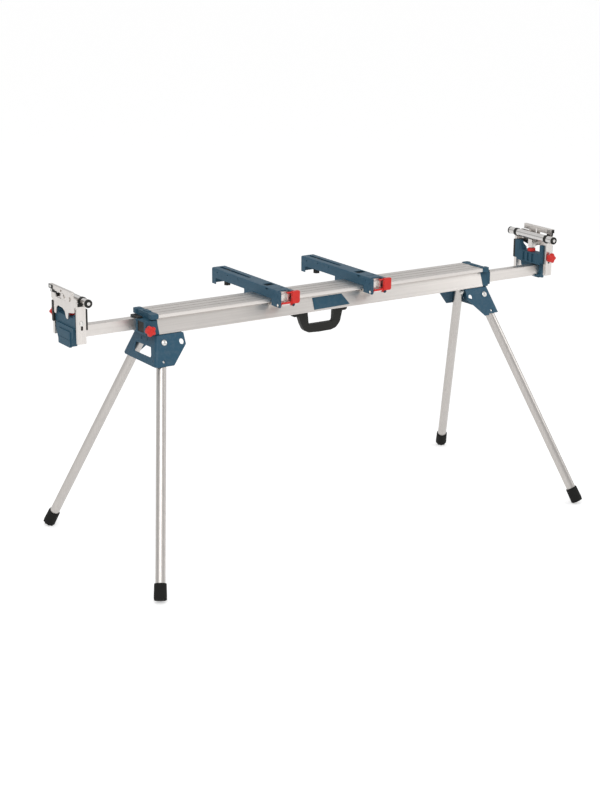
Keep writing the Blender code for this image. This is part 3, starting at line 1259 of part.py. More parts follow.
def make_tool_mount(end, place):
    """Folded channel that sits across the deck, hooked under the rear lip."""
    half = MOUNT_WIDTH / 2
    section = [
        (half, MOUNT_BOTTOM),
        (half, MOUNT_TOP),
        (-half, MOUNT_TOP),
        (-half, MOUNT_BOTTOM),
        (-MOUNT_INNER, MOUNT_BOTTOM),
        (-MOUNT_INNER, MOUNT_UNDERSIDE),
        (MOUNT_INNER, MOUNT_UNDERSIDE),
        (MOUNT_INNER, MOUNT_BOTTOM),
    ]
    bends = (0, MOUNT_BEND_RADIUS, MOUNT_BEND_RADIUS, 0, 0, MOUNT_INNER_RADIUS, MOUNT_INNER_RADIUS, 0)
    channel = across([rounded(section, bends)], -MOUNT_FRONT, MOUNT_BACK)
    mount = piece(f"{end}_tool_mount", channel, BLUE_PAINT, place)
    wide = half + OVERRUN
    under = MOUNT_BOTTOM - OVERRUN
    front_leg = -MOUNT_FRONT + MOUNT_FRONT_LEG
    hook_start = LIP_EDGE + SLIDE_GAP
    hook_end = hook_start + MOUNT_HOOK_LEG
    cut(mount, box((-wide, front_leg, under), (wide, hook_start, MOUNT_SEAT)))
    cut(mount, box((-wide, hook_end, under), (wide, MOUNT_BACK - MOUNT_TAIL, MOUNT_SEAT)))
    corner = [
        (-MOUNT_FRONT - OVERRUN, under),
        (-MOUNT_FRONT - OVERRUN, MOUNT_BOTTOM + MOUNT_CORNER_CUT + OVERRUN),
        (MOUNT_CORNER_CUT + OVERRUN - MOUNT_FRONT, under),
    ]
    cut(mount, along([corner], -wide, wide))
    tail = box((-half + LAP, MOUNT_BACK - MOUNT_WALL, MOUNT_BOTTOM + LAP), (half - LAP, MOUNT_BACK, MOUNT_UNDERSIDE + LAP))
    toe_top = LIP_BOTTOM - SLIDE_GAP
    hook = [
        (hook_start - HOOK_REACH, MOUNT_BOTTOM),
        (hook_start + HOOK_BODY, MOUNT_BOTTOM),
        (hook_start + HOOK_BODY, MOUNT_SEAT + HOOK_RISE),
        (hook_start, MOUNT_SEAT + HOOK_RISE),
        (hook_start, toe_top),
        (hook_start - HOOK_REACH, toe_top),
    ]
    add(mount, tail, along([hook], -MOUNT_INNER - LAP, MOUNT_INNER + LAP))
    through = (MOUNT_UNDERSIDE - OVERRUN, MOUNT_TOP + OVERRUN)
    slot_half = TOP_SLOT_WIDTH / 2
    slot = rounded(rectangle((-slot_half, TOP_SLOT_START), (slot_half, TOP_SLOT_END)), 0.94 * slot_half)
    cut(mount, upward([slot], *through))
    pocket_low = (-POCKET_WIDTH / 2, -POCKET_LENGTH / 2)
    pocket_high = (POCKET_WIDTH / 2, POCKET_LENGTH / 2)
    cut(mount, upward([rounded(rectangle(pocket_low, pocket_high), POCKET_RADIUS)], *through))
    cut(mount, upward([curved_slot()], *through))
    mouth = (-MOUNT_INNER, -MOUNT_FRONT - OVERRUN, MOUNT_UNDERSIDE - OVERRUN)
    mouth_end = (MOUNT_MOUTH_WIDTH - MOUNT_INNER, MOUNT_MOUTH_DEPTH - MOUNT_FRONT, MOUNT_TOP + OVERRUN)
    cut(mount, box(mouth, mouth_end))
    wall_height = MOUNT_TOP - MOUNT_SEAT
    for share, down in SIDE_HOLE_SHARES:
        y, z = share * MOUNT_BACK, MOUNT_TOP - down * wall_height
        cut(mount, cylinder((-wide, y, z), (wide, y, z), SIDE_HOLE_RADIUS))
    places = [(SIDE_SLOT_SHARE, SIDE_SLOT_LENGTH, SIDE_SLOT_HEIGHT)]
    places += [(share, RIVET_SLOT_LENGTH, RIVET_SLOT_HEIGHT) for share in RIVET_SLOT_SHARES]
    for (share, down), length, height in places:
        y, z = -share * MOUNT_FRONT, MOUNT_TOP - down * wall_height
        low, high = (y - length / 2, z - height / 2), (y + length / 2, z + height / 2)
        cut(mount, along([rectangle(low, high)], -wide, wide))
    y, z = LEVER_PIN.y, LEVER_PIN.z
    cut(mount, cylinder((-wide, y, z), (wide, y, z), LEVER_PIN_RADIUS + HOLE_GAP))


def curved_slot():
    """Arc-shaped slot whose middle bows towards the mount's front."""
    steps = 3 * CORNER_STEPS
    outer = CURVED_SLOT_RADIUS + CURVED_SLOT_WIDTH / 2
    inner = CURVED_SLOT_RADIUS - CURVED_SLOT_WIDTH / 2
    start = -math.pi / 2 - CURVED_SLOT_SPAN / 2
    turns = [start + CURVED_SLOT_SPAN * step / steps for step in range(steps + 1)]
    rim = [(outer * math.cos(turn), outer * math.sin(turn) - CURVED_SLOT_CENTRE) for turn in turns]
    back = [(inner * math.cos(turn), inner * math.sin(turn) - CURVED_SLOT_CENTRE) for turn in reversed(turns)]
    return rim + back


def make_clamp_jaw(end, place):
    """Sliding jaw with a toe under the rail's front lip."""
    half = MOUNT_INNER - JAW_SIDE_GAP
    top = MOUNT_UNDERSIDE - SEAT_GAP
    bottom = top - JAW_HEIGHT
    face = JAW_FRONT_SETBACK - MOUNT_FRONT
    grip = -LIP_EDGE - SLIDE_GAP
    toe_top = LIP_BOTTOM - SLIDE_GAP
    outline = [
        (face, top),
        (face, bottom),
        (grip - JAW_LEG, bottom),
        (grip - JAW_LEG, MOUNT_BOTTOM),
        (grip + JAW_TOE_LENGTH, MOUNT_BOTTOM),
        (grip + JAW_TOE_LENGTH, toe_top),
        (grip, toe_top),
        (grip, top),
    ]
    jaw = piece(f"{end}_clamp_jaw", along([outline], -half, half), ALUMINIUM, place, (0, face, bottom))
    middle = bottom + JAW_HEIGHT / 2
    for side in (-1, 1):
        centre = side * JAW_POCKET_PLACE
        low = (centre - JAW_POCKET_WIDTH / 2, face - OVERRUN, middle - JAW_POCKET_HEIGHT / 2)
        high = (centre + JAW_POCKET_WIDTH / 2, face + JAW_POCKET_DEPTH, middle + JAW_POCKET_HEIGHT / 2)
        cut(jaw, box(low, high))


def make_lever(end, place):
    """Release lever: a windowed plate with a thick grip at its right, on two cheeks round the lever pin."""
    back = -MOUNT_FRONT - LEVER_FACE_GAP
    front = back - LEVER_DEPTH
    bottom, top = LEVER_PIN.z + LEVER_BOTTOM_RISE, MOUNT_TOP - LEVER_TOP_DROP
    grip = rectangle((LEVER_GRIP_LEFT, bottom), (LEVER_GRIP_RIGHT, top))
    radii = (0, LEVER_BOTTOM_RADIUS, LEVER_EDGE_RADIUS, 0)
    lever = piece(f"{end}_lever", across([rounded(grip, radii)], front, back), RED_PLASTIC, place, LEVER_PIN)
    frame = rectangle((-LEVER_FRAME_LEFT, bottom), (LEVER_GRIP_LEFT + LAP, top))
    window_low = bottom + LEVER_BAR_HEIGHT
    windows = [
        rounded(rectangle((left, window_low), (right, window_low + LEVER_WINDOW_HEIGHT)), LEVER_EDGE)
        for left, right in LEVER_WINDOW_SHARES
    ]
    add(lever, across([rounded(frame, LEVER_EDGE)] + windows, back - LEVER_FRAME_DEPTH, back))
    bar = rectangle((-LEVER_FRAME_LEFT + LAP, bottom), (LEVER_BAR_RIGHT, bottom + LEVER_BAR_HEIGHT - LEVER_EDGE))
    add(lever, across([rounded(bar, LEVER_EDGE)], front + LEVER_EDGE_RADIUS, back))
    cheek_out = MOUNT_INNER - SLIDE_GAP
    cheek_in = cheek_out - LEVER_CHEEK_THICKNESS
    barrel = circle((LEVER_PIN.y, LEVER_PIN.z), LEVER_BARREL_RADIUS, PIN_SIDES)
    for side in (-1, 1):
        near, far = sorted((side * cheek_in, side * cheek_out))
        arm = [
            (LEVER_PIN.y, LEVER_PIN.z - LEVER_BARREL_RADIUS / 2),
            (LEVER_PIN.y, LEVER_PIN.z + LEVER_BARREL_RADIUS),
            (back - LAP, bottom + LEVER_BAR_HEIGHT - LEVER_EDGE_RADIUS),
            (back - LAP, bottom + LEVER_EDGE),
        ]
        add(lever, along([arm], near, far), along([barrel], near + LAP / 4, far - LAP / 4))
    pin_hole = LEVER_PIN_RADIUS + HOLE_GAP
    wide = MOUNT_INNER
    cut(lever, cylinder((-wide, LEVER_PIN.y, LEVER_PIN.z), (wide, LEVER_PIN.y, LEVER_PIN.z), pin_hole))


def make_lever_pin(end, place):
    """Headed pin through both walls of the mount."""
    face = MOUNT_WIDTH / 2 + SEAT_GAP
    half = [
        (0, face + LEVER_PIN_HEAD),
        (LEVER_PIN_HEAD_RADIUS, face + LEVER_PIN_HEAD),
        (LEVER_PIN_HEAD_RADIUS, face),
        (LEVER_PIN_RADIUS, face),
    ]
    profile = half + [(radius, -height) for radius, height in reversed(half)]
    frame = place @ Matrix.Translation(LEVER_PIN) @ Matrix.Rotation(math.pi / 2, 4, "Y")
    piece(f"{end}_lever_pin", revolved(profile), STEEL, frame)


def make_bolt_knob(end, place):
    """Knob under the slot that fastens the tool, with its stud in the slot and a collar under the top."""
    top = MOUNT_SEAT - BOLT_KNOB_DROP
    frame = place @ Matrix.Translation((0, BOLT_KNOB_PLACE, top))
    outline = lobed(BOLT_KNOB_RADIUS, BOLT_KNOB_DIP, BOLT_KNOB_LOBES)
    handle = prism([outline], BOLT_KNOB_HEIGHT, Matrix.Translation((0, 0, -BOLT_KNOB_HEIGHT)))
    knob = piece(f"{end}_bolt_knob", handle, BLACK_PLASTIC, frame)
    collar_top = MOUNT_UNDERSIDE - SEAT_GAP - top
    half = BOLT_COLLAR_WIDTH / 2
    add(knob, cylinder((0, 0, -LAP), (0, 0, MOUNT_TOP - LAP - top), BOLT_RADIUS))
    add(knob, box((-half, -half, collar_top - BOLT_COLLAR_HEIGHT), (half, half, collar_top)))


# The whole stand

make_rail()
make_carry_handle()
make_name_plate()
make_legs()
for end, place in ENDS.items():
    make_end_cap(end, place)
    make_leg_bracket(end, place)
    make_arm(end, place)
    make_arm_knob(end, place)
    make_carriage(end, place)
    make_support_frame(end, place)
    make_roller(end, place)
    make_stop_bar(end, place)
    make_guide_screw(end, place)
    make_height_knob(end, place)
    make_thumb_wheel(end, place)
    for row, side in (("front", -1), ("rear", 1)):
        turned = side if end == "right" else -side
        make_roller_cap(f"{end}_roller_{row}_cap", place, turned)
        make_roller_bush(f"{end}_roller_{row}_bush", place, turned)
for end, middle in MOUNT_PLACES.items():
    place = Matrix.Translation((middle, 0, 0))
    make_tool_mount(end, place)
    make_clamp_jaw(end, place)
    make_lever(end, place)
    make_lever_pin(end, place)
    make_bolt_knob(end, place)
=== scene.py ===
"""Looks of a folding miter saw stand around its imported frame: finishes, finer forms, light and camera."""

import json
import math

import bmesh
import bpy
from mathutils import Matrix, Vector

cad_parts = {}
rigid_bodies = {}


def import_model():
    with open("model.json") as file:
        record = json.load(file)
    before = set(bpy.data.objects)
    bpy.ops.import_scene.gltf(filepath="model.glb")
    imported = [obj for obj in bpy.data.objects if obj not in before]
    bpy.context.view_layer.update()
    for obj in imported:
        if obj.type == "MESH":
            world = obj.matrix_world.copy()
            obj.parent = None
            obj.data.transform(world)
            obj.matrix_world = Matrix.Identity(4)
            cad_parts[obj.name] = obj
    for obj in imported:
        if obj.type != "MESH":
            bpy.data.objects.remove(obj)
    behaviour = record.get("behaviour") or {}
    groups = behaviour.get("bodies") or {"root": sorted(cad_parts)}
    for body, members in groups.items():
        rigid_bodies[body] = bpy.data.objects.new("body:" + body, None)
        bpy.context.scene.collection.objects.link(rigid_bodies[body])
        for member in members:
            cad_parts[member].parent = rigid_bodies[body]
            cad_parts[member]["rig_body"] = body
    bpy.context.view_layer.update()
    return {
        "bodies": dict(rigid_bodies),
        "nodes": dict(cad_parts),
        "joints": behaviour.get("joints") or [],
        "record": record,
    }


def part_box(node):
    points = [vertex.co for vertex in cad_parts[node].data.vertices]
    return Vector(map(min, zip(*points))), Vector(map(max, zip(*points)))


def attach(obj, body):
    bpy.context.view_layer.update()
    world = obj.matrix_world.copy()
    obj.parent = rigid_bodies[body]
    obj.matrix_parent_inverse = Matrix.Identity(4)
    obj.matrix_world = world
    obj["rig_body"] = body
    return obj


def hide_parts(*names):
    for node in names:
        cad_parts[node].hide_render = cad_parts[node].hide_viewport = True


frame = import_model()
NODES = frame["nodes"]
SCENE = bpy.context.scene
HALF_TURN = Matrix.Rotation(math.pi, 4, "Z")
HERE = Matrix.Identity(4)
ENDS = {"right": HERE, "left": HALF_TURN}

# Sizes, in metres
PIN_SIDES = 10
CORNER_STEPS = 2
SLOT_ROUNDING = 0.94  # share of a slot's half width that its ends are rounded by
MOST_ROUNDING = 0.48  # share of an outline's edge that one corner's arc may take
DRAW_SCALE = 100
DRAW_TURN = Matrix.Rotation(math.radians(21), 4, "Z")
SEAT_GAP = 0.0003  # between pieces that rest on each other
SLIDE_GAP = 0.0005  # between pieces that slide past each other
HOLE_GAP = 0.0004  # around a shank in its hole
LAP = 0.0008  # how far joined shapes run into each other
HAIR = 0.0001  # least step between two rings or faces
OVERRUN = 0.006  # how far a cut runs past the wall it opens
RAIL_LENGTH = 1.22
DECK_HEIGHT = 0.7635
RAIL_DEPTH = 0.061
RAIL_FOOT_WIDTH = 0.122
RAIL_NECK_WIDTH = 0.0842
RAIL_LIP_WIDTH = 0.1136
RAIL_LIP_THICKNESS = 0.0115
ARM_WIDTH = 0.0263
ARM_HEIGHT = 0.0358
ARM_REACH = 0.278
ARM_OFFSET = 0.0239
ARM_RISE = 0.0064
ARM_EDGE_RADIUS = 0.0015
CAP_THICKNESS = 0.021
CAP_MARGIN = 0.001
CAP_EDGE_RADIUS = 0.003
CAP_REACH = 0.0415
CAP_LOBE_REACH = 0.0265
CAP_LOBE_WIDTH = 0.0210
CAP_LOBE_RADIUS = 0.005
CAP_HUMP_WIDTH = 0.034
CAP_HUMP_RISE = 0.0012
HOUSING_ARM_WALL = 0.008
HOUSING_BACK = 0.052
HOUSING_TOP_WALL = 0.0012
HOUSING_FLOOR_GAP = 0.001
POCKET_WIDTH = 0.040
POCKET_HEIGHT = 0.0325
POCKET_RISE = 0.005
POCKET_FLOOR = 0.005
CAP_LINER_WIDTH = 0.0455
CAP_LINER_HEIGHT = 0.006
CAP_LINER_OVERHANG = 0.0015
KNOB_RADIUS = 0.0168
KNOB_DIP = 0.0038
KNOB_LOBES = 5
KNOB_THICKNESS = 0.015
KNOB_HUB_RADIUS = 0.0095
KNOB_STUD_RADIUS = 0.003
KNOB_DISH_RADIUS = 0.0075
KNOB_DISH_DEPTH = 0.0012
ARM_KNOB_STANDOFF = 0.010
ARM_KNOB_REACH = 0.0345
ARM_KNOB_DROP = 0.00675
PIVOT_INSET = 0.0062
PIVOT_SIDE = 0.0599
PIVOT_DROP = 0.0291
FOOT_OUT = 0.1905
FOOT_SIDE = 0.3196
LEG_RADIUS = 0.015
SHOE_RADIUS = 0.0197
SHOE_TOP_RADIUS = 0.0183
SHOE_LENGTH = 0.050
SHOE_SOLE = 0.012
SHOE_EDGE = 0.0035
SHOE_SHORT = 0.0085
SHEET = 0.0025
LEG_PLATE_GAP = 0.0004
BOLT_RADIUS = 0.004
BOLT_HEAD_RADIUS = 0.0095
BOLT_HEAD_HEIGHT = 0.0055
NUT_RADIUS = 0.0075
NUT_HEIGHT = 0.006
BOLT_END = 0.0015
HANDLE_WIDTH = 0.206
HANDLE_DROP = 0.0803
HANDLE_DEPTH = 0.016
HANDLE_LEFT = 0.0077
HANDLE_RADIUS_SHARES = (0, 0.02, 0.10, 0.10, 0.10, 0.10, 0.10, 0.08, 0.10, 0.03, 0, 0, 0.03, 0.03, 0)
SUPPORT_REACH = 0.263
POST_WIDTH = 0.026
POST_THICKNESS = 0.012
POST_WALL = 0.0022
POST_INNER = 0.0715
POST_BELOW_ARM = 0.0118
POST_SLOT_WIDTH = 0.0066
POST_SLOT_LIFT = 0.018
GUIDE_RISE = 0.0498
ROLLER_SETBACK = 0.0082
ROLLER_RISE = 0.11285
ROLLER_RADIUS = 0.012
ROLLER_NECK_RADIUS = 0.0072
ROLLER_BARREL_HALF = 0.0708
ROLLER_STUB_START = 0.0832
ROLLER_STUB_END = 0.1095
ROLLER_SPIGOT_RADIUS = 0.006
ROLLER_SPIGOT_LENGTH = 0.003
ROLLER_EDGE = 0.0006
ROLLER_CAP_RADIUS = 0.0123
ROLLER_CAP_LENGTH = 0.0056
BUSH_RADIUS = 0.0133
POST_ABOVE_ARM = ROLLER_RISE - BUSH_RADIUS - SEAT_GAP
FACE_THICKNESS = 0.003
FACE_TOP = 0.1222
FACE_BRIDGE = 0.0952
FACE_HALF = 0.069
FACE_EDGE_SHARES = (
    (-1.000, 1.000), (-0.957, 0.581), (-0.780, 0.560), (-0.720, 0.770), (-0.560, 0.850),
    (-0.140, 0.835), (0.080, 0.765), (0.190, 0.570), (0.360, 0.540), (0.430, 0.760), (0.780, 0.800),
    (1.000, 0.830), (1.000, 1.000),
)
FACE_EDGE_RADIUS = 0.006
FACE_DIP_SHARES = ((0.609, 0), (0.594, 0.039), (0.203, 0.181), (-0.768, 0.191), (-0.986, 0))
FACE_DIP_RADII = (0, 0.001, 0.003, 0.003, 0)
PILLAR_WIDTH = 0.020
PILLAR_INBOARD = 0.015
PILLAR_OUTBOARD = 0.0005
PILLAR_BOTTOM = 0.0735
PILLAR_TOP = ROLLER_RISE - ROLLER_RADIUS - SLIDE_GAP
SHELF_WIDTH = 0.018
SHELF_BOTTOM = 0.0820
SHELF_TOP = 0.0915
STOP_TAB_WIDTH = 0.018
STOP_TAB_THICKNESS = 0.0017
STOP_TAB_TOP = 0.1200
STOP_SCREW_SIDE = 0.0075
STOP_SCREW_RISE = 0.1145
STOP_SCREW_RADIUS = 0.0023
STOP_SCREW_HEAD_RADIUS = 0.0044
STOP_SCREW_HEAD_HEIGHT = 0.0020
STOP_TRAVEL = 0.018
STOP_LENGTH = 0.144
STOP_SETOUT = 0.0165
STOP_BOTTOM = 0.1242
STOP_STEP = 0.0055
STOP_HEIGHT = 0.0170
STOP_THICKNESS = 0.0105
STOP_FIN_DEPTH = 0.0016
STOP_FIN_GAP = 0.0022
STOP_FIN_COUNT = 3
TONGUE_NEAR = 0.0435
TONGUE_FAR = 0.012
TONGUE_SETBACK = 0.0002
TONGUE_THICKNESS = 0.0024
TONGUE_DROP = 0.0172
TONGUE_RISE = 0.0103
TONGUE_TAPER = 0.004
CROSSBAR_INBOARD = 0.021
CROSSBAR_OUTBOARD = 0.011
CROSSBAR_HALF = 0.061
CROSSBAR_BOTTOM = 0.02175
CROSSBAR_TOP = 0.05825
UPRIGHT_INNER = {-1: 0.0575, 1: 0.0470}
UPRIGHT_TOP = 0.08975
UPRIGHT_BOTTOM = 0.02675
UPRIGHT_NARROW = 0.005
UPRIGHT_SHOULDER = 0.0640
UPRIGHT_EDGE_RADIUS = 0.003
GUSSET_INNER = 0.0345
GUSSET_INSET = 0.0012
GUIDE_WALL = 0.002
GUIDE_LIP_WIDTH = 0.0085
BLOCK_INBOARD = 0.004
BLOCK_OUTBOARD = 0.0155
BLOCK_TOP = 0.03025
BLOCK_SIDE = ((0.040, -0.0275), (0.048, -0.013), (0.057, 0.012))
PANEL_HALF = 0.039
PANEL_BOTTOM = 0.030
PANEL_TOP = 0.0165
PANEL_THICKNESS = 0.003
PANEL_RADIUS = 0.002
PANEL_FOLD_DROP = 0.008
PANEL_FOLD_WIDTH = 0.0014
PANEL_FOLD_DEPTH = 0.0012
BUMPER_LENGTH = 0.017
BUMPER_WIDTH = 0.007
BUMPER_HEIGHT = 0.006
BUMPER_DROP = 0.0205
RIB_WIDTH = 0.012
RIB_DEPTH = 0.004
RIB_COUNT = 3
RIB_PITCH = 0.023
GUIDE_SCREW_RADIUS = 0.0028
GUIDE_SCREW_DEPTH = 0.014
GUIDE_HEAD_RADIUS = 0.008
GUIDE_HEAD_THICKNESS = 0.0018
GUIDE_HEX_RADIUS = 0.005
GUIDE_HEX_THICKNESS = 0.003
HEIGHT_KNOB_STANDOFF = 0.004
WHEEL_RADIUS = 0.0135
WHEEL_THICKNESS = 0.011
WHEEL_SETBACK = 0.007
WHEEL_FLUTES = 14
WHEEL_FLUTE_DEPTH = 0.0012
WHEEL_STUD_RADIUS = 0.004
WHEEL_STUD_DEPTH = 0.020
MOUNT_PLACES = {"left": -0.192, "right": 0.152}
MOUNT_WIDTH = 0.052
MOUNT_WALL = 0.0025
MOUNT_FRONT = 0.111
MOUNT_TOP_RISE = 0.0315
MOUNT_DROP = 0.020
JAW_HEIGHT = 0.0322
JAW_SIDE_GAP = 0.0009
JAW_FRONT_SETBACK = 0.005
JAW_FRONT_DROP = 0.0072
JAW_FRONT_LENGTH = 0.008
JAW_LEG = 0.0145
JAW_TOE_LENGTH = 0.0095
JAW_POCKET_DEPTH = 0.006
JAW_SLOT_LEFT = 0.0112
JAW_SLOT_RIGHT = 0.0008
JAW_NOTCH_LEFT = 0.0064
JAW_NOTCH_RISE = 0.0078
JAW_NOTCH_HEIGHT = 0.007
LEVER_PIN_SETBACK = 0.013
LEVER_PIN_DROP = 0.0125
LEVER_PIN_RADIUS = 0.003
LEVER_FACE_GAP = 0.001
LEVER_DEPTH = 0.009
LEVER_FRAME_DEPTH = 0.0055
LEVER_GRIP_LEFT = 0.011
LEVER_GRIP_RIGHT = 0.0375
LEVER_FRAME_LEFT = 0.0235
LEVER_TOP_DROP = 0.0005
LEVER_BOTTOM_RISE = 0.005
LEVER_BAR_HEIGHT = 0.006
LEVER_BAR_RIGHT = 0.022
LEVER_LID_LEFT = 0.006
LEVER_LID_HEIGHT = 0.0035
LEVER_LID_DROP = 0.002
LEVER_EDGE_RADIUS = 0.0025
LEVER_BOTTOM_RADIUS = 0.006
LEVER_CHEEK_THICKNESS = 0.006
LEVER_BARREL_RADIUS = 0.006
LEVER_EDGE = 0.001

# Sizes that follow from those
RAIL_END = RAIL_LENGTH / 2
RAIL_BOTTOM = DECK_HEIGHT - RAIL_DEPTH
LIP_BOTTOM = DECK_HEIGHT - RAIL_LIP_THICKNESS
LIP_EDGE = RAIL_LIP_WIDTH / 2
ARM_BOTTOM = RAIL_BOTTOM + ARM_RISE
ARM_Z = ARM_BOTTOM + ARM_HEIGHT / 2
ARM_TOP = ARM_BOTTOM + ARM_HEIGHT
ARM_END = RAIL_END + ARM_REACH
CAP_START = RAIL_END + SEAT_GAP
CAP_END = RAIL_END + CAP_REACH
PIVOT = Vector((RAIL_END - PIVOT_INSET, -PIVOT_SIDE, RAIL_BOTTOM - PIVOT_DROP))
FOOT_POINT = Vector((PIVOT.x + FOOT_OUT, PIVOT.y - FOOT_SIDE, 0))
LEG_REACH = (FOOT_POINT - PIVOT).length
PLATE_TILT = math.atan2(FOOT_SIDE, PIVOT.z)
POST_X = RAIL_END + SUPPORT_REACH
POST_OUTER = POST_INNER + POST_THICKNESS
GUIDE_Z = ARM_Z + GUIDE_RISE
GUIDE_REACH = POST_OUTER + SEAT_GAP - (POST_INNER - SEAT_GAP) + GUIDE_SCREW_DEPTH
FACE_X = POST_X + POST_WIDTH / 2 - LAP
STOP_X = POST_X + STOP_SETOUT
MOUNT_TOP = DECK_HEIGHT + MOUNT_TOP_RISE
MOUNT_BOTTOM = DECK_HEIGHT - MOUNT_DROP
MOUNT_INNER = MOUNT_WIDTH / 2 - MOUNT_WALL
MOUNT_UNDERSIDE = MOUNT_TOP - MOUNT_WALL
LEVER_PIN = Vector((0, LEVER_PIN_SETBACK - MOUNT_FRONT, DECK_HEIGHT - LEVER_PIN_DROP))

# Sizes of the finer forms and the fittings
STOP_FOOT = 0.0055
COVER_BOTTOM = 0.1178
COVER_BACK = 0.0006
COVER_SKIN = 0.0009
COVER_LAP = 0.001
COVER_LENGTH = 0.025
COVER_SCREW_RADIUS = 0.0047
COVER_SCREW_HEIGHT = 0.0016
COVER_SCREW_SOCKET = 0.0019
COVER_SCREW_INSETS = (0.0112, 0.007)
TAB_X = 0.8795
HANDLE_FRONT = -0.0138
HANDLE_GRIP_SHARES = (
    (-0.428, 0.010), (-0.411, 0.126), (-0.351, 0.584), (-0.300, 0.841), (-0.218, 0.974),
    (-0.014, 1.000), (0.203, 0.990), (0.296, 0.921), (0.368, 0.710), (0.418, 0.184), (0.434, 0.010),
    (0.255, 0.010), (0.243, 0.650), (-0.209, 0.650), (-0.236, 0.010),
)
HANDLE_FLANGE_SHARES = (
    ((-0.5, 0), (-0.30, 0), (-0.30, 0.22), (-0.40, 0.27), (-0.47, 0.27), (-0.5, 0.22)),
    ((0.32, 0), (0.5, 0), (0.5, 0.22), (0.47, 0.27), (0.42, 0.27), (0.32, 0.22)),
)
GUIDE_STRIP = 0.0072
GUIDE_LIP_OUT = 0.0040
HUMP_REACH = 0.0150
TREAD_LOBES = 9
TREAD_DIP = 0.0022
TREAD_PROFILE = ((0, 1.9), (0, 1), (0.3, 0.3))  # insets and rises as shares of the shoe's edge
SHOE_TREAD = 2.6  # where the tread begins, as a share of the shoe's edge
SHOE_MARGIN = 0.0003
SHOE_TAPER = 0.0002
SHOE_RIM = 0.006
SHOE_SIDES = 72
BOLT_HEAD_RIM = 0.0008
DOME_ANGLES = (72, 60, 48, 36, 24, 12, 0)
BOLT_RECESS = 0.0022
BOLT_RECESS_FLOOR = 0.0028
CAP_SCREW_RADIUS = 0.0052
CAP_SCREW_HEIGHT = 0.0015
CAP_SCREW_SUNK = 0.0012
SMALL_SOCKET = 0.0018
ROLLER_CAP_RIM = 0.0022
KNOB_RIM = 0.0035
KNOB_UNDERSIDE = 80  # degrees that the rim rounds through, below and above
KNOB_TOPSIDE = 78
KNOB_HUB_LEAD = 0.0008
KNOB_WAIST = 0.001
KNOB_CROWN = 0.0006
KNOB_DISH_SLOPE = 0.0007
KNOB_DISH_WAVE = 0.2
KNOB_SIDES = 80
STUD_LAP = 0.0005
GUIDE_HEX_EDGE = 0.0018
GUIDE_SIDES = 40
GUIDE_WASHER_EDGE = 0.0004
GUIDE_SOCKET = 0.0021
GUIDE_SOCKET_FLOOR = 0.001
WHEEL_EDGE = 0.0016
WHEEL_SIDES = 8 * WHEEL_FLUTES
WHEEL_CROWN_SHARES = (0.62, 0.58)
WHEEL_CROWN_DEPTH = 0.0012
# Painted shade: where the black plate that darkens the end cap's pocket sits, and how thick it is
POCKET_SHADE_INSET = 0.0015
POCKET_SHADE_THICKNESS = 0.002
LINER_GAP = 0.0004
LINER_LAP = 0.0005
PAN_EDGE = 0.6
PAN_FLOOR = 0.35
PAN_TAPER = 0.9
ROD_SIDES = 24
FINE_EDGE = 0.0004
SOFT_EDGES = {"end_cap": 0.0012, "handle": 0.0025, "lever": 0.0008}

# Light
SKY_LIGHT = 0.62
STUDIO_BANDS = ((0, 1.0), (0.16, 0.95), (0.29, 0.38), (0.42, 0.90), (0.62, 1.0), (0.80, 0.50), (1, 0.80))
AREA_LIGHTS = (("key", (-2.2, -2.6, 3.2), 2.6, 60), ("side", (3.2, -1.6, 2.0), 1.8, 18))
LIGHT_AIM = 0.6
FLOOR_HALF = 60
FLOOR_DROP = 0.0005
FLOOR_GLOW = 0.455
FLOOR_TONE = (0.86, 0.86, 0.86)

# Camera, solved from the photograph
CAMERA_TURNS = (32.967, 16.636, 0.3345)  # to the right, down and rolled, in degrees
CAMERA_PLACE = (-2.9788, -4.4794, 1.9968)
CAMERA_FOCUS = 1741.06  # in pixels
PHOTO_HEIGHT = 800
SENSOR = 36

# Shading, angles in degrees
MERGE_DISTANCE = 0.00001
FLAT_ANGLE = 0.3
BEVEL_ANGLE = 40
SHARP_ANGLE = 35
FLAT_WEIGHT = 80

# Finishes: scales of noise, the ranges of it that are used, and shares of a colour's tone
NOISE_SPAN = (0.3, 0.7)
DIE_STRETCH = 0.006
DIE_LINES = 2400
DIE_BANDS = 210
DIE_TONES = (0.93, 1.035)
DIE_ROUGHNESS = (-0.07, 0.09)
DIE_DEPTH = 0.00002
DIE_BUMP = 0.6
MARKS = 9
MARKS_SPAN = (0.42, 0.72)
MARKS_SHARE = 0.35
MARKS_TONE = 0.88
LEG_TONE = 0.74
PLATE_CLOUD = 160
PLATE_TONE_SPAN = (0.35, 0.7)
PLATE_TONES = (0.90, 1.04)
PLATE_ROUGH_SPAN = (0.3, 0.75)
PLATE_ROUGHNESS = (0.8, 1.35)
SCRATCHES = 1800
SCRATCH_STRETCH = 0.03
SCRATCH_DEPTH = 0.00001
COAT_CLOUD = 14
COAT_TONES = (0.95, 1.05)
COAT_ROUGHNESS = (-0.05, 0.07)
COAT_BUMP = 0.5
WORN = 0.35  # tone that worn edges fade to
WORN_EDGES = (0.53, 0.60)
WORN_PATCHES = 60
WORN_SPAN = (0.45, 0.62)

# Colours, linear
ALUMINIUM = (0.70, 0.665, 0.635)
ZINC = (0.72, 0.71, 0.69)
CHROME = (0.62, 0.605, 0.59)
BLUE_PAINT = (0.034, 0.096, 0.150)
BLUE_MOULDED = (0.030, 0.090, 0.138)
RED = (0.68, 0.026, 0.019)
BLACK = (0.020, 0.020, 0.018)
RUBBER = (0.014, 0.014, 0.013)


# Node materials


def new_material(name, roughness, metallic=0.0, specular=0.5):
    """Material with its plain numbers on the shader. Returns it with its node tree."""
    made = bpy.data.materials.new(name)
    made.use_nodes = True
    shader = made.node_tree.nodes["Principled BSDF"]
    shader.inputs["Roughness"].default_value = roughness
    shader.inputs["Metallic"].default_value = metallic
    shader.inputs["Specular IOR Level"].default_value = specular
    return made, made.node_tree


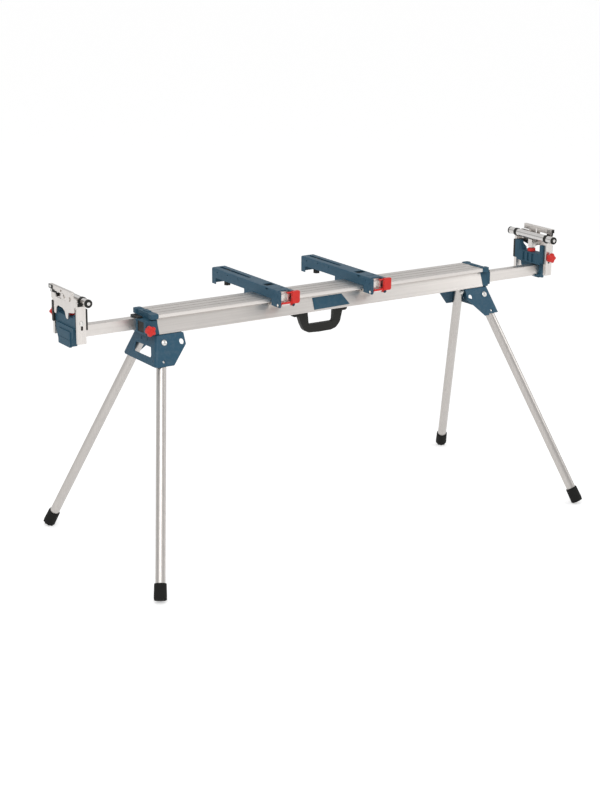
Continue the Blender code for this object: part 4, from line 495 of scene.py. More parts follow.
def feed(tree, socket, value):
    """Link an output to a socket, or set the socket's number or colour."""
    if isinstance(value, bpy.types.NodeSocket):
        tree.links.new(value, socket)
    else:
        socket.default_value = value


def add_node(tree, kind, attributes=None, **inputs):
    made = tree.nodes.new(kind)
    for key, value in (attributes or {}).items():
        setattr(made, key, value)
    for key, value in inputs.items():
        feed(tree, made.inputs[key], value)
    return made


def place_in(tree, scale=(1, 1, 1), turn=(0, 0, 0)):
    """Point of the surface in its piece's own frame, turned and stretched."""
    point = add_node(tree, "ShaderNodeTexCoord").outputs["Object"]
    return add_node(tree, "ShaderNodeMapping", Vector=point, Rotation=turn, Scale=scale).outputs["Vector"]


def noise(tree, vector, scale, detail=2.0, roughness=0.5):
    inputs = {"Vector": vector, "Scale": scale, "Detail": detail, "Roughness": roughness}
    return add_node(tree, "ShaderNodeTexNoise", **inputs).outputs["Fac"]


def ranged(tree, value, span, new_low=0.0, new_high=1.0):
    ends = {"From Min": span[0], "From Max": span[1], "To Min": new_low, "To Max": new_high}
    return add_node(tree, "ShaderNodeMapRange", Value=value, **ends).outputs["Result"]


def mixed(tree, factor, first, second):
    made = add_node(tree, "ShaderNodeMix", {"data_type": "RGBA"})
    tree.links.new(factor, made.inputs["Factor"])
    for socket, value in ((made.inputs[6], first), (made.inputs[7], second)):
        feed(tree, socket, value if isinstance(value, bpy.types.NodeSocket) else (*value, 1.0))
    return made.outputs[2]


def surfaced(made, tone, rough, height, distance, strength):
    """Give a material's shader its tone, its roughness and a bump."""
    tree = made.node_tree
    bump = add_node(tree, "ShaderNodeBump", Height=height, Distance=distance, Strength=strength)
    values = {"Base Color": tone, "Roughness": rough, "Normal": bump.outputs["Normal"]}
    for name, value in values.items():
        tree.links.new(value, tree.nodes["Principled BSDF"].inputs[name])
    return made


def shaded(colour, factor):
    return tuple(channel * factor for channel in colour)


def drawn_metal(name, colour, turn=(0, 0, 0), axis=0, roughness=0.36):
    """Anodised extrusion with fine die lines along one axis of a turned frame, and faint handling marks."""
    made, tree = new_material(name, roughness, metallic=1.0)
    stretch = [1.0, 1.0, 1.0]
    stretch[axis] = DIE_STRETCH
    lines = noise(tree, place_in(tree, stretch, turn), DIE_LINES, 3, 0.6)
    broad = noise(tree, place_in(tree, stretch, turn), DIE_BANDS, 2)
    blotch = noise(tree, place_in(tree), MARKS, 4, 0.6)
    dark, light = (shaded(colour, share) for share in DIE_TONES)
    tone = mixed(tree, ranged(tree, broad, NOISE_SPAN), dark, light)
    marked = ranged(tree, blotch, MARKS_SPAN, 0, MARKS_SHARE)
    tone = mixed(tree, marked, tone, shaded(colour, MARKS_TONE))
    rough = ranged(tree, lines, NOISE_SPAN, *(roughness + change for change in DIE_ROUGHNESS))
    return surfaced(made, tone, rough, lines, DIE_DEPTH, DIE_BUMP)


def bright_metal(name, colour, roughness, scratch=0.3):
    """Plated steel with a slight cloud and hairline scratches."""
    made, tree = new_material(name, roughness, metallic=1.0)
    cloud = noise(tree, place_in(tree), PLATE_CLOUD, 4, 0.65)
    hair = noise(tree, place_in(tree, (1, SCRATCH_STRETCH, 1)), SCRATCHES, 2)
    dark, light = (shaded(colour, share) for share in PLATE_TONES)
    tone = mixed(tree, ranged(tree, cloud, PLATE_TONE_SPAN), dark, light)
    rough = ranged(tree, cloud, PLATE_ROUGH_SPAN, *(roughness * share for share in PLATE_ROUGHNESS))
    return surfaced(made, tone, rough, hair, SCRATCH_DEPTH, scratch)


def coated(name, colour, roughness, grain, depth, wear=0.0, specular=0.5):
    """Paint or moulded plastic: a fine grain, a slow change of tone and worn edges."""
    made, tree = new_material(name, roughness, specular=specular)
    skin = noise(tree, place_in(tree), grain, 2, 0.55)
    cloud = noise(tree, place_in(tree), COAT_CLOUD, 4, 0.6)
    dark, light = (shaded(colour, share) for share in COAT_TONES)
    tone = mixed(tree, ranged(tree, cloud, NOISE_SPAN), dark, light)
    if wear:
        edges = add_node(tree, "ShaderNodeNewGeometry").outputs["Pointiness"]
        patch = noise(tree, place_in(tree), WORN_PATCHES, 4, 0.7)
        rubbed = add_node(tree, "ShaderNodeMath", {"operation": "MULTIPLY"})
        tree.links.new(ranged(tree, edges, WORN_EDGES, 0, wear), rubbed.inputs[0])
        tree.links.new(ranged(tree, patch, WORN_SPAN), rubbed.inputs[1])
        pale = tuple((channel + WORN) / 2 for channel in colour)
        tone = mixed(tree, rubbed.outputs["Value"], tone, pale)
    rough = ranged(tree, skin, NOISE_SPAN, *(roughness + change for change in COAT_ROUGHNESS))
    return surfaced(made, tone, rough, skin, depth, COAT_BUMP)


RAIL_LOOK = drawn_metal("rail_aluminium", ALUMINIUM)
POST_LOOK = drawn_metal("post_aluminium", ALUMINIUM, axis=2, roughness=0.34)
BAR_LOOK = drawn_metal("bar_aluminium", ALUMINIUM, axis=1, roughness=0.34)
ZINC_LOOK = bright_metal("zinc_plate", ZINC, 0.26)
CHROME_LOOK = bright_metal("roller_chrome", CHROME, 0.09, 0.1)
PAINT_LOOK = coated("blue_powder_coat", BLUE_PAINT, 0.42, 1500, 0.00006, wear=0.15, specular=0.16)
MOULDED_LOOK = coated("blue_moulding", BLUE_MOULDED, 0.50, 2600, 0.00004, wear=0.1, specular=0.2)
RED_LOOK = coated("red_moulding", RED, 0.34, 2200, 0.00003, specular=0.35)
BLACK_LOOK = coated("black_moulding", BLACK, 0.46, 2400, 0.00005, specular=0.2)
RUBBER_LOOK = coated("black_rubber", RUBBER, 0.72, 1600, 0.00008, specular=0.15)


def leg_look(corner):
    """Die lines that run down a leg."""
    low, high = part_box(f"{corner}_leg")
    run = Vector((high.x - low.x, high.y - low.y, high.z - low.z))
    front, right = corner.startswith("front"), corner.endswith("right")
    down = Vector((run.x if right else -run.x, -run.y if front else run.y, -run.z))
    turn = down.to_track_quat("Z", "Y").inverted().to_euler()
    colour = shaded(ALUMINIUM, LEG_TONE)
    return drawn_metal(f"{corner}_tube", colour, turn=tuple(turn), axis=2, roughness=0.34)


LOOKS = {
    "main_rail": RAIL_LOOK,
    "_arm": RAIL_LOOK,
    "lock_button": ZINC_LOOK,
    "lever_pin": ZINC_LOOK,
    "leg_bracket": PAINT_LOOK,
    "tool_mount": PAINT_LOOK,
    "name_plate": MOULDED_LOOK,
    "_bush": BLACK_LOOK,
    "bolt_knob": BLACK_LOOK,
}
for row in ("front", "rear"):
    for end in ENDS:
        LOOKS[f"{row}_{end}_leg"] = leg_look(f"{row}_{end}")


# How the solids are shaded: flats stay flat and round faces run on


def smoothing():
    """Geometry nodes that join split points and mark the edges where faces turn sharply."""
    tree = bpy.data.node_groups.new("smooth_by_angle", "GeometryNodeTree")
    tree.interface.new_socket("Geometry", in_out="INPUT", socket_type="NodeSocketGeometry")
    tree.interface.new_socket("Geometry", in_out="OUTPUT", socket_type="NodeSocketGeometry")
    start, finish = tree.nodes.new("NodeGroupInput"), tree.nodes.new("NodeGroupOutput")
    merge = add_node(tree, "GeometryNodeMergeByDistance", Geometry=start.outputs[0], Distance=MERGE_DISTANCE)
    shade = "GeometryNodeSetShadeSmooth"
    smooth = add_node(tree, shade, {"domain": "FACE"}, Geometry=merge.outputs["Geometry"])
    smooth.inputs["Shade Smooth"].default_value = True
    angle = add_node(tree, "GeometryNodeInputMeshEdgeAngle")
    sharp = add_node(tree, "FunctionNodeCompare", {"operation": "GREATER_THAN"})
    tree.links.new(angle.outputs["Unsigned Angle"], sharp.inputs["A"])
    sharp.inputs["B"].default_value = math.radians(SHARP_ANGLE)
    crisp = add_node(tree, shade, {"domain": "EDGE"}, Geometry=smooth.outputs["Geometry"])
    tree.links.new(sharp.outputs["Result"], crisp.inputs["Selection"])
    crisp.inputs["Shade Smooth"].default_value = False
    tree.links.new(crisp.outputs["Geometry"], finish.inputs[0])
    return tree


SMOOTHING = smoothing()


def even_shading(made, edge=0.0):
    """Join flat faces, round the sharp edges by edge and let round faces run on."""
    flat = made.modifiers.new("join_flats", "DECIMATE")
    flat.decimate_type = "DISSOLVE"
    flat.angle_limit = math.radians(FLAT_ANGLE)
    if edge:
        soft = made.modifiers.new("soft_edges", "BEVEL")
        soft.width = edge
        soft.segments = 2
        soft.limit_method = "ANGLE"
        soft.angle_limit = math.radians(BEVEL_ANGLE)
        soft.miter_outer = "MITER_ARC"
    smooth = made.modifiers.new("smooth", "NODES")
    smooth.node_group = SMOOTHING
    weighted = made.modifiers.new("weighted", "WEIGHTED_NORMAL")
    weighted.keep_sharp = True
    weighted.weight = FLAT_WEIGHT


# Shapes: outlines, and the meshes drawn from them


def mesh_from(bm, name):
    mesh = bpy.data.meshes.new(name)
    bm.to_mesh(mesh)
    bm.free()
    return mesh


def box(low, high):
    size = Vector(high) - Vector(low)
    middle = (Vector(high) + Vector(low)) / 2
    bm = bmesh.new()
    bmesh.ops.create_cube(bm, size=1, matrix=Matrix.Translation(middle) @ Matrix.Diagonal((*size, 1)))
    return mesh_from(bm, "box")


def cylinder(start, end, radius, sides=PIN_SIDES):
    start, end = Vector(start), Vector(end)
    turn = (end - start).to_track_quat("Z", "Y").to_matrix().to_4x4()
    bm = bmesh.new()
    bmesh.ops.create_cone(
        bm,
        cap_ends=True,
        segments=sides,
        radius1=radius,
        radius2=radius,
        depth=(end - start).length,
        matrix=Matrix.Translation((start + end) / 2) @ turn,
    )
    return mesh_from(bm, "cylinder")


def circle(centre, radius, sides=PIN_SIDES):
    steps = (2 * math.pi * index / sides for index in range(sides))
    return [(centre[0] + radius * math.cos(turn), centre[1] + radius * math.sin(turn)) for turn in steps]


def rectangle(low, high):
    return [(low[0], low[1]), (high[0], low[1]), (high[0], high[1]), (low[0], high[1])]


def rounded(points, radius, steps=CORNER_STEPS):
    """Outline with its corners turned into arcs. radius is one length, or one for each corner."""
    radii = [radius] * len(points) if isinstance(radius, (int, float)) else radius
    outline = []
    for index, point in enumerate(points):
        corner = Vector(point)
        before = Vector(points[index - 1]) - corner
        after = Vector(points[(index + 1) % len(points)]) - corner
        if not radii[index]:
            outline.append(tuple(corner))
            continue
        half = before.angle(after) / 2
        reach = min(radii[index] / math.tan(half), MOST_ROUNDING * min(before.length, after.length))
        centre = corner + (before.normalized() + after.normalized()).normalized() * reach / math.cos(half)
        first = corner + before.normalized() * reach - centre
        last = corner + after.normalized() * reach - centre
        sweep = math.atan2(first.x * last.y - first.y * last.x, first.dot(last))
        for step in range(steps + 1):
            outline.append(tuple(centre + Matrix.Rotation(sweep * step / steps, 2) @ first))
    return outline


def prism(loops, depth, frame=HERE):
    """Flat outline in a frame's XY plane, its later loops as holes, extruded by depth along Z."""
    curve = bpy.data.curves.new("outline", "CURVE")
    curve.dimensions = "2D"
    curve.fill_mode = "BOTH"
    curve.extrude = depth / 2 * DRAW_SCALE
    for loop in loops:
        spline = curve.splines.new("POLY")
        spline.points.add(len(loop) - 1)
        for point, (right, up) in zip(spline.points, loop):
            point.co = (*(DRAW_TURN @ Vector((right, up, 0)) * DRAW_SCALE), 1)
        spline.use_cyclic_u = True
    drawn = bpy.data.objects.new("outline", curve)
    SCENE.collection.objects.link(drawn)
    mesh = bpy.data.meshes.new_from_object(drawn.evaluated_get(bpy.context.evaluated_depsgraph_get()))
    bpy.data.objects.remove(drawn)
    bpy.data.curves.remove(curve)
    bm = bmesh.new()
    bm.from_mesh(mesh)
    bmesh.ops.remove_doubles(bm, verts=bm.verts, dist=LAP)
    bmesh.ops.recalc_face_normals(bm, faces=bm.faces)
    bm.to_mesh(mesh)
    bm.free()
    mesh.materials.clear()
    raised = Matrix.Translation((0, 0, depth / 2))
    mesh.transform(frame @ raised @ DRAW_TURN.inverted() @ Matrix.Scale(1 / DRAW_SCALE, 4))
    return mesh


def along(loops, start, end):
    """Outline drawn across and up, run along X."""
    frame = Matrix(((0, 0, 1, start), (1, 0, 0, 0), (0, 1, 0, 0), (0, 0, 0, 1)))
    return prism(loops, end - start, frame)


def across(loops, front, back):
    """Outline drawn along and up, run across Y."""
    frame = Matrix(((1, 0, 0, 0), (0, 0, -1, back), (0, 1, 0, 0), (0, 0, 0, 1)))
    return prism(loops, back - front, frame)


def upward(loops, bottom, top):
    """Outline drawn in plan, run up Z."""
    return prism(loops, top - bottom, Matrix.Translation((0, 0, bottom)))


def mirrored(points):
    """Outline whose right half is given, from bottom to top."""
    return points + [(-across_, up) for across_, up in reversed(points)]


def arm_bore(centre, gap=SLIDE_GAP):
    low = (centre - ARM_WIDTH / 2 - gap, ARM_BOTTOM - gap)
    high = (centre + ARM_WIDTH / 2 + gap, ARM_TOP + gap)
    return rounded(rectangle(low, high), ARM_EDGE_RADIUS, 1)


def rail_half(margin):
    return [
        (RAIL_FOOT_WIDTH / 2 + margin, RAIL_BOTTOM), (RAIL_NECK_WIDTH / 2 + margin, LIP_BOTTOM - margin),
        (LIP_EDGE + margin, LIP_BOTTOM - margin), (LIP_EDGE + margin, DECK_HEIGHT + margin),
    ]


# Drawing


DRAWN = []


def standing(name, mesh, look, place):
    """Object with one look, drawn in the frame given by place."""
    made = bpy.data.objects.new(name, mesh)
    made.matrix_world = place
    mesh.materials.append(look)
    SCENE.collection.objects.link(made)
    return made


def piece(name, mesh, look, place=HERE):
    """Piece of the stand that stands for the node of its name."""
    made = standing(f"{name}_form", mesh, look, place)
    DRAWN.append((made, name))
    return made


def combine(target, meshes, operation):
    for mesh in meshes:
        tool = bpy.data.objects.new("tool", mesh)
        tool.parent = target
        SCENE.collection.objects.link(tool)
        step = target.modifiers.new(operation.lower(), "BOOLEAN")
        step.operation = operation
        step.solver = "EXACT"
        step.object = tool


def add(target, *meshes):
    combine(target, meshes, "UNION")


def cut(target, *meshes):
    combine(target, meshes, "DIFFERENCE")


def settle(made):
    """Turn a drawn piece's joins and cuts into its mesh."""
    bpy.context.view_layer.update()
    mesh = bpy.data.meshes.new_from_object(made.evaluated_get(bpy.context.evaluated_depsgraph_get()))
    tools = list(made.children)
    made.modifiers.clear()
    made.data = mesh
    for tool in tools:
        bpy.data.objects.remove(tool)


def turned(rings, lobes=0, steps=56):
    """Skin turned about Z through (radius, height) rings. A third number dips a ring between its lobes."""
    bm = bmesh.new()
    turns = [2 * math.pi * step / steps for step in range(steps)]
    loops = []
    for radius, height, *dip in rings:
        if not radius:
            loops.append([bm.verts.new((0, 0, height))])
            continue
        depth = dip[0] if dip else 0
        ring = []
        for turn in turns:
            reach = radius - depth * (1 - math.cos(lobes * turn)) / 2
            ring.append(bm.verts.new((reach * math.cos(turn), reach * math.sin(turn), height)))
        loops.append(ring)
    for low, high in zip(loops, loops[1:]):
        for step in range(steps):
            after = (step + 1) % steps
            corners = ((low, step), (low, after), (high, after), (high, step))
            bm.faces.new(list(dict.fromkeys(loop[index % len(loop)] for loop, index in corners)))
    bmesh.ops.recalc_face_normals(bm, faces=bm.faces)
    return mesh_from(bm, "turned")


def arc(radius, height, size, start, end, steps=4, dip=0):
    """Rings of a rounded edge: its middle, its size and the angles in degrees that it runs between."""
    turns = [math.radians(start + (end - start) * step / steps) for step in range(steps + 1)]
    return [(radius + size * math.cos(turn), height + size * math.sin(turn), dip) for turn in turns]


def fitted(name, mesh, look, body, place=HERE):
    """Small fitting without a node of its own, which rides on a body."""
    made = standing(name, mesh, look, place)
    even_shading(made)
    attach(made, body)


def pan_head(radius, height, socket):
    """Screw head that stands on a frame's XY plane, with a socket in its crown."""
    edge = height * PAN_EDGE
    crown = arc(radius - edge, height - edge, edge, 0, 90)[1:]
    floor = height * PAN_FLOOR
    dish = [(socket, height), (socket * PAN_TAPER, floor), (0, floor)]
    return turned([(0, 0), (radius, 0), (radius, height - edge), *crown, *dish])


def rod(start, end, radius):
    """Closed pin along Z."""
    return turned([(0, start), (radius, start), (radius, end), (0, end)], steps=ROD_SIDES)


# Pieces that stand for nodes, with the finer shape of the real ones


def make_end_cap(end, place):
    """Cap with two lobes, a hump between them, a housing round the arm and a pocket beside it."""
    plate = rounded(mirrored(rail_half(CAP_MARGIN)), CAP_EDGE_RADIUS)
    cap = piece(f"{end}_end_cap", along([plate], CAP_START, CAP_START + CAP_THICKNESS), MOULDED_LOOK, place)
    lobe_out = LIP_EDGE + 2 * CAP_MARGIN
    lobe_top = DECK_HEIGHT + 2 * CAP_MARGIN
    for side in (-1, 1):
        near, far = sorted((side * lobe_out, side * (lobe_out - CAP_LOBE_WIDTH)))
        plan = rounded(rectangle((CAP_START + LAP, near), (RAIL_END + CAP_LOBE_REACH, far)), CAP_LOBE_RADIUS)
        add(cap, upward([plan], LIP_BOTTOM - 2 * LAP, lobe_top))
    half = CAP_HUMP_WIDTH / 2
    hump = rounded(rectangle((CAP_START + LAP, -half), (RAIL_END + HUMP_REACH, half)), CAP_LOBE_RADIUS)
    add(cap, upward([hump], ARM_TOP, lobe_top + CAP_HUMP_RISE))
    housing_low = (-ARM_OFFSET - ARM_WIDTH / 2 - HOUSING_ARM_WALL, RAIL_BOTTOM + HOUSING_FLOOR_GAP)
    housing_high = (HOUSING_BACK, ARM_TOP + SLIDE_GAP + HOUSING_TOP_WALL)
    housing = rounded(rectangle(housing_low, housing_high), CAP_EDGE_RADIUS)
    add(cap, along([housing], CAP_START + 2 * LAP, CAP_END))
    liner_y = -ARM_OFFSET - CAP_LINER_WIDTH / 2 + HOUSING_ARM_WALL
    liner_low = (CAP_START + 3 * LAP, liner_y, ARM_TOP + SLIDE_GAP + LAP)
    liner_high = (CAP_END + CAP_LINER_OVERHANG, liner_y + CAP_LINER_WIDTH, ARM_TOP + CAP_LINER_HEIGHT)
    add(cap, box(liner_low, liner_high))
    cut(cap, along([arm_bore(-ARM_OFFSET)], CAP_START - OVERRUN, CAP_END + OVERRUN))
    pocket_low = (CAP_START + POCKET_FLOOR, 0, RAIL_BOTTOM + HOUSING_FLOOR_GAP + POCKET_RISE)
    pocket_high = (CAP_END + OVERRUN, POCKET_WIDTH, pocket_low[2] + POCKET_HEIGHT)
    cut(cap, box(pocket_low, pocket_high))
    knob_x, knob_z = RAIL_END + ARM_KNOB_REACH, ARM_Z - ARM_KNOB_DROP
    inner = (knob_x, -ARM_OFFSET, knob_z)
    outer = (knob_x, HOUSING_BACK + OVERRUN, knob_z)
    cut(cap, cylinder(inner, outer, KNOB_STUD_RADIUS + HOLE_GAP))


def make_carry_handle():
    """Handle under the rail's middle: an arched grip with a foot at each end."""
    top = RAIL_BOTTOM - SEAT_GAP
    front = HANDLE_FRONT

    def placed(shares):
        return [(x * HANDLE_WIDTH - HANDLE_LEFT, top - drop * HANDLE_DROP) for x, drop in shares]

    radii = [share * HANDLE_WIDTH for share in HANDLE_RADIUS_SHARES]
    grip = rounded(placed(HANDLE_GRIP_SHARES), radii)
    handle = piece("carry_handle", across([grip], front, front + HANDLE_DEPTH), BLACK_LOOK)
    for shares in HANDLE_FLANGE_SHARES:
        add(handle, across([placed(shares)], front + LAP, front + HANDLE_DEPTH - LAP))


def make_support_frame(end, place):
    """Two slotted posts joined by a face plate, with a pillar, a shelf and a tab for the stop bar's screw."""
    post_low, post_high = ARM_Z - POST_BELOW_ARM, ARM_Z + POST_ABOVE_ARM
    half_width = POST_WIDTH / 2

    def post(side):
        near, far = sorted((side * POST_INNER, side * POST_OUTER))
        walls = []
        for wall in (0, POST_WALL):
            low = (POST_X - half_width + wall, near + wall)
            walls.append(rectangle(low, (POST_X + half_width - wall, far - wall)))
        return upward(walls, post_low, post_high)

    frame = piece(f"{end}_support_frame", post(-1), POST_LOOK, place)
    bridge = ARM_Z + FACE_BRIDGE
    top = ARM_Z + FACE_TOP
    lower = [(x * FACE_HALF, ARM_Z + up * FACE_BRIDGE) for x, up in FACE_EDGE_SHARES]
    edge = POST_OUTER - LAP / 2
    dip = [(x * FACE_HALF, top - down * FACE_BRIDGE) for x, down in FACE_DIP_SHARES]
    upper = [(edge, bridge), (edge, top), *dip, (-edge, top), (-edge, bridge)]
    radii = [0] + [FACE_EDGE_RADIUS / 2] * (len(lower) - 2) + [0, 0]
    radii += [FACE_EDGE_RADIUS, *FACE_DIP_RADII, FACE_EDGE_RADIUS, 0]
    plate = rounded(lower + upper, radii)
    add(frame, post(1), along([plate], FACE_X, FACE_X + FACE_THICKNESS + LAP))
    pillar_out = POST_X + PILLAR_OUTBOARD
    pillar_low = (POST_X - PILLAR_INBOARD, -PILLAR_WIDTH / 2, ARM_Z + PILLAR_BOTTOM)
    pillar_high = (pillar_out, PILLAR_WIDTH / 2, ARM_Z + PILLAR_TOP)
    shelf_low = (pillar_out - LAP, -SHELF_WIDTH / 2, ARM_Z + SHELF_BOTTOM)
    shelf_high = (FACE_X + LAP, SHELF_WIDTH / 2, ARM_Z + SHELF_TOP)
    tab_out = TAB_X - HOLE_GAP
    tab_side = STOP_SCREW_SIDE - STOP_TAB_WIDTH / 2
    tab_low = (tab_out - STOP_TAB_THICKNESS, tab_side, ARM_Z + SHELF_TOP - LAP)
    tab_high = (tab_out, STOP_SCREW_SIDE + STOP_TAB_WIDTH / 2, ARM_Z + STOP_TAB_TOP)
    add(frame, box(pillar_low, pillar_high), box(shelf_low, shelf_high), box(tab_low, tab_high))
    screw_y, screw_z = STOP_SCREW_SIDE, ARM_Z + STOP_SCREW_RISE
    under_head = STOP_X + TONGUE_SETBACK + TONGUE_THICKNESS + SLIDE_GAP
    head_end = under_head + STOP_SCREW_HEAD_HEIGHT
    for start, finish, radius in (
        (tab_out - LAP, under_head + LAP, STOP_SCREW_RADIUS),
        (under_head, head_end, STOP_SCREW_HEAD_RADIUS),
    ):
        add(frame, cylinder((start, screw_y, screw_z), (finish, screw_y, screw_z), radius))
    slot_low = (POST_X - POST_SLOT_WIDTH / 2, GUIDE_Z - POST_SLOT_LIFT - POST_SLOT_WIDTH / 2)
    slot_high = (POST_X + POST_SLOT_WIDTH / 2, GUIDE_Z + POST_SLOT_WIDTH)
    slot = rounded(rectangle(slot_low, slot_high), SLOT_ROUNDING * POST_SLOT_WIDTH / 2)
    cut(frame, across([slot], -POST_OUTER - OVERRUN, POST_OUTER + OVERRUN))


def make_stop_bar(end, place):
    """Stepped, finned bar with a slotted tongue that slides on the frame's stop screw."""
    outboard = STOP_X + STOP_THICKNESS
    bottom, top = ARM_Z + STOP_BOTTOM, ARM_Z + STOP_BOTTOM + STOP_HEIGHT
    step = bottom + STOP_STEP
    foot_out = STOP_X + STOP_FOOT
    outline = [(foot_out, bottom), (foot_out, step), (outboard, step), (outboard, top), (STOP_X, top)]
    pitch = STOP_HEIGHT / (STOP_FIN_COUNT + 1)
    for index in range(STOP_FIN_COUNT):
        middle = top - pitch * (index + 1)
        high, low = middle + STOP_FIN_GAP / 2, middle - STOP_FIN_GAP / 2
        deep = STOP_X + STOP_FIN_DEPTH
        outline += [(STOP_X, high), (deep, high), (deep, low), (STOP_X, low)]
    outline.append((STOP_X, bottom))
    half = STOP_LENGTH / 2
    bar = piece(f"{end}_stop_bar", across([outline], -half, half), POST_LOOK, place)
    low, high = bottom - TONGUE_DROP, bottom + TONGUE_RISE
    tongue = [
        (TONGUE_NEAR, high), (-TONGUE_FAR, high), (-TONGUE_FAR, low + TONGUE_TAPER),
        (TONGUE_TAPER - TONGUE_FAR, low), (TONGUE_NEAR - TONGUE_TAPER, low),
        (TONGUE_NEAR, low + TONGUE_TAPER),
    ]
    tongue_in = STOP_X + TONGUE_SETBACK
    tongue_out = tongue_in + TONGUE_THICKNESS
    add(bar, along([tongue], tongue_in, tongue_out))
    screw_y, screw_z = STOP_SCREW_SIDE, ARM_Z + STOP_SCREW_RISE
    slot_half = STOP_SCREW_RADIUS + HOLE_GAP
    slot_low = (screw_y - slot_half, screw_z - slot_half)
    slot_high = (screw_y + slot_half, screw_z + STOP_TRAVEL + slot_half)
    slot = rounded(rectangle(slot_low, slot_high), SLOT_ROUNDING * slot_half)
    cut(bar, along([slot], STOP_X - OVERRUN, tongue_out + LAP))
    head_half = STOP_SCREW_HEAD_RADIUS + HOLE_GAP
    clear_low = (tongue_out + TONGUE_SETBACK, screw_y - head_half, bottom - LAP)
    clear_high = (foot_out + OVERRUN, screw_y + head_half, screw_z + STOP_TRAVEL + head_half)
    cut(bar, box(clear_low, clear_high))


def make_carriage(end, place):
    """Casting on the arm's end: a socket block, a crossbar and an upright at each side."""
    inboard, outboard = POST_X - CROSSBAR_INBOARD, POST_X + CROSSBAR_OUTBOARD
    low = (inboard, -CROSSBAR_HALF, ARM_Z + CROSSBAR_BOTTOM)
    high = (outboard, CROSSBAR_HALF, ARM_Z + CROSSBAR_TOP)
    carriage = piece(f"{end}_carriage", box(low, high), MOULDED_LOOK, place)
    channel_out = POST_INNER - SEAT_GAP
    channel_in = channel_out - GUIDE_WALL
    bottom, top = ARM_Z + UPRIGHT_BOTTOM, ARM_Z + UPRIGHT_TOP
    shoulder = ARM_Z + UPRIGHT_SHOULDER
    profile = [
        (inboard, bottom), (outboard, bottom), (outboard, shoulder),
        (POST_X - UPRIGHT_NARROW, shoulder + (outboard - POST_X + UPRIGHT_NARROW)),
        (POST_X - UPRIGHT_NARROW, top), (inboard, top),
    ]
    for side in (-1, 1):
        near, far = sorted((side * UPRIGHT_INNER[side], side * (channel_in + LAP)))
        add(carriage, across([rounded(profile, UPRIGHT_EDGE_RADIUS)], near, far))
    gusset = [
        (GUSSET_INNER, ARM_Z + CROSSBAR_TOP - LAP), (channel_in, ARM_Z + CROSSBAR_TOP - LAP),
        (channel_in, top - GUSSET_INSET), (UPRIGHT_INNER[1] - LAP, top - GUSSET_INSET),
    ]
    add(carriage, along([gusset], inboard + GUSSET_INSET, POST_X - UPRIGHT_NARROW - GUSSET_INSET))
    block_in, block_out = POST_X - BLOCK_INBOARD, POST_X + BLOCK_OUTBOARD
    sides = [(across_, ARM_Z + up) for across_, up in BLOCK_SIDE]
    block = mirrored(sides + [(sides[-1][0], ARM_Z + BLOCK_TOP)])
    add(carriage, along([rounded(block, UPRIGHT_EDGE_RADIUS)], block_in, block_out))
    panel_low = (-PANEL_HALF, ARM_Z - PANEL_BOTTOM)
    panel_high = (PANEL_HALF, ARM_Z + PANEL_TOP)
    panel_out = block_out + PANEL_THICKNESS
    panel = rounded(rectangle(panel_low, panel_high), PANEL_RADIUS)
    add(carriage, along([panel], block_out - PANEL_THICKNESS, panel_out))
    fold = ARM_Z - PANEL_FOLD_DROP
    fold_low = (panel_out - PANEL_FOLD_DEPTH, -PANEL_HALF - OVERRUN, fold - PANEL_FOLD_WIDTH / 2)
    fold_high = (panel_out + OVERRUN, PANEL_HALF + OVERRUN, fold + PANEL_FOLD_WIDTH / 2)
    cut(carriage, box(fold_low, fold_high))
    pocket_end = ARM_END + SEAT_GAP
    cut(carriage, along([arm_bore(-ARM_OFFSET, SEAT_GAP)], block_in - OVERRUN, pocket_end))
    bumper_y = ARM_OFFSET + ARM_WIDTH / 2 + SLIDE_GAP
    bumper_z = ARM_Z - BUMPER_DROP
    bumper_low = (block_in - BUMPER_LENGTH, -bumper_y - BUMPER_WIDTH, bumper_z)
    bumper_high = (block_in + OVERRUN, -bumper_y, bumper_z + BUMPER_HEIGHT)
    add(carriage, box(bumper_low, bumper_high))
    for index in range(RIB_COUNT):
        middle = RIB_PITCH * (index - (RIB_COUNT - 1) / 2)
        low = (inboard - LAP, middle - RIB_WIDTH / 2, ARM_Z + CROSSBAR_BOTTOM + RIB_DEPTH)
        high = (inboard + RIB_DEPTH, middle + RIB_WIDTH / 2, ARM_Z + CROSSBAR_TOP - RIB_DEPTH)
        cut(carriage, box(low, high))
    wheel_x = POST_X - WHEEL_SETBACK
    start = (wheel_x, 0, ARM_Z + CROSSBAR_TOP - WHEEL_STUD_DEPTH - SEAT_GAP)
    finish = (wheel_x, 0, ARM_Z + CROSSBAR_TOP + OVERRUN)
    cut(carriage, cylinder(start, finish, WHEEL_STUD_RADIUS + HOLE_GAP))
    for side in (-1, 1):
        start = (POST_X, side * (channel_out - GUIDE_SCREW_DEPTH - SEAT_GAP), GUIDE_Z)
        finish = (POST_X, side * (channel_out + OVERRUN), GUIDE_Z)
        cut(carriage, cylinder(start, finish, GUIDE_SCREW_RADIUS + HOLE_GAP))


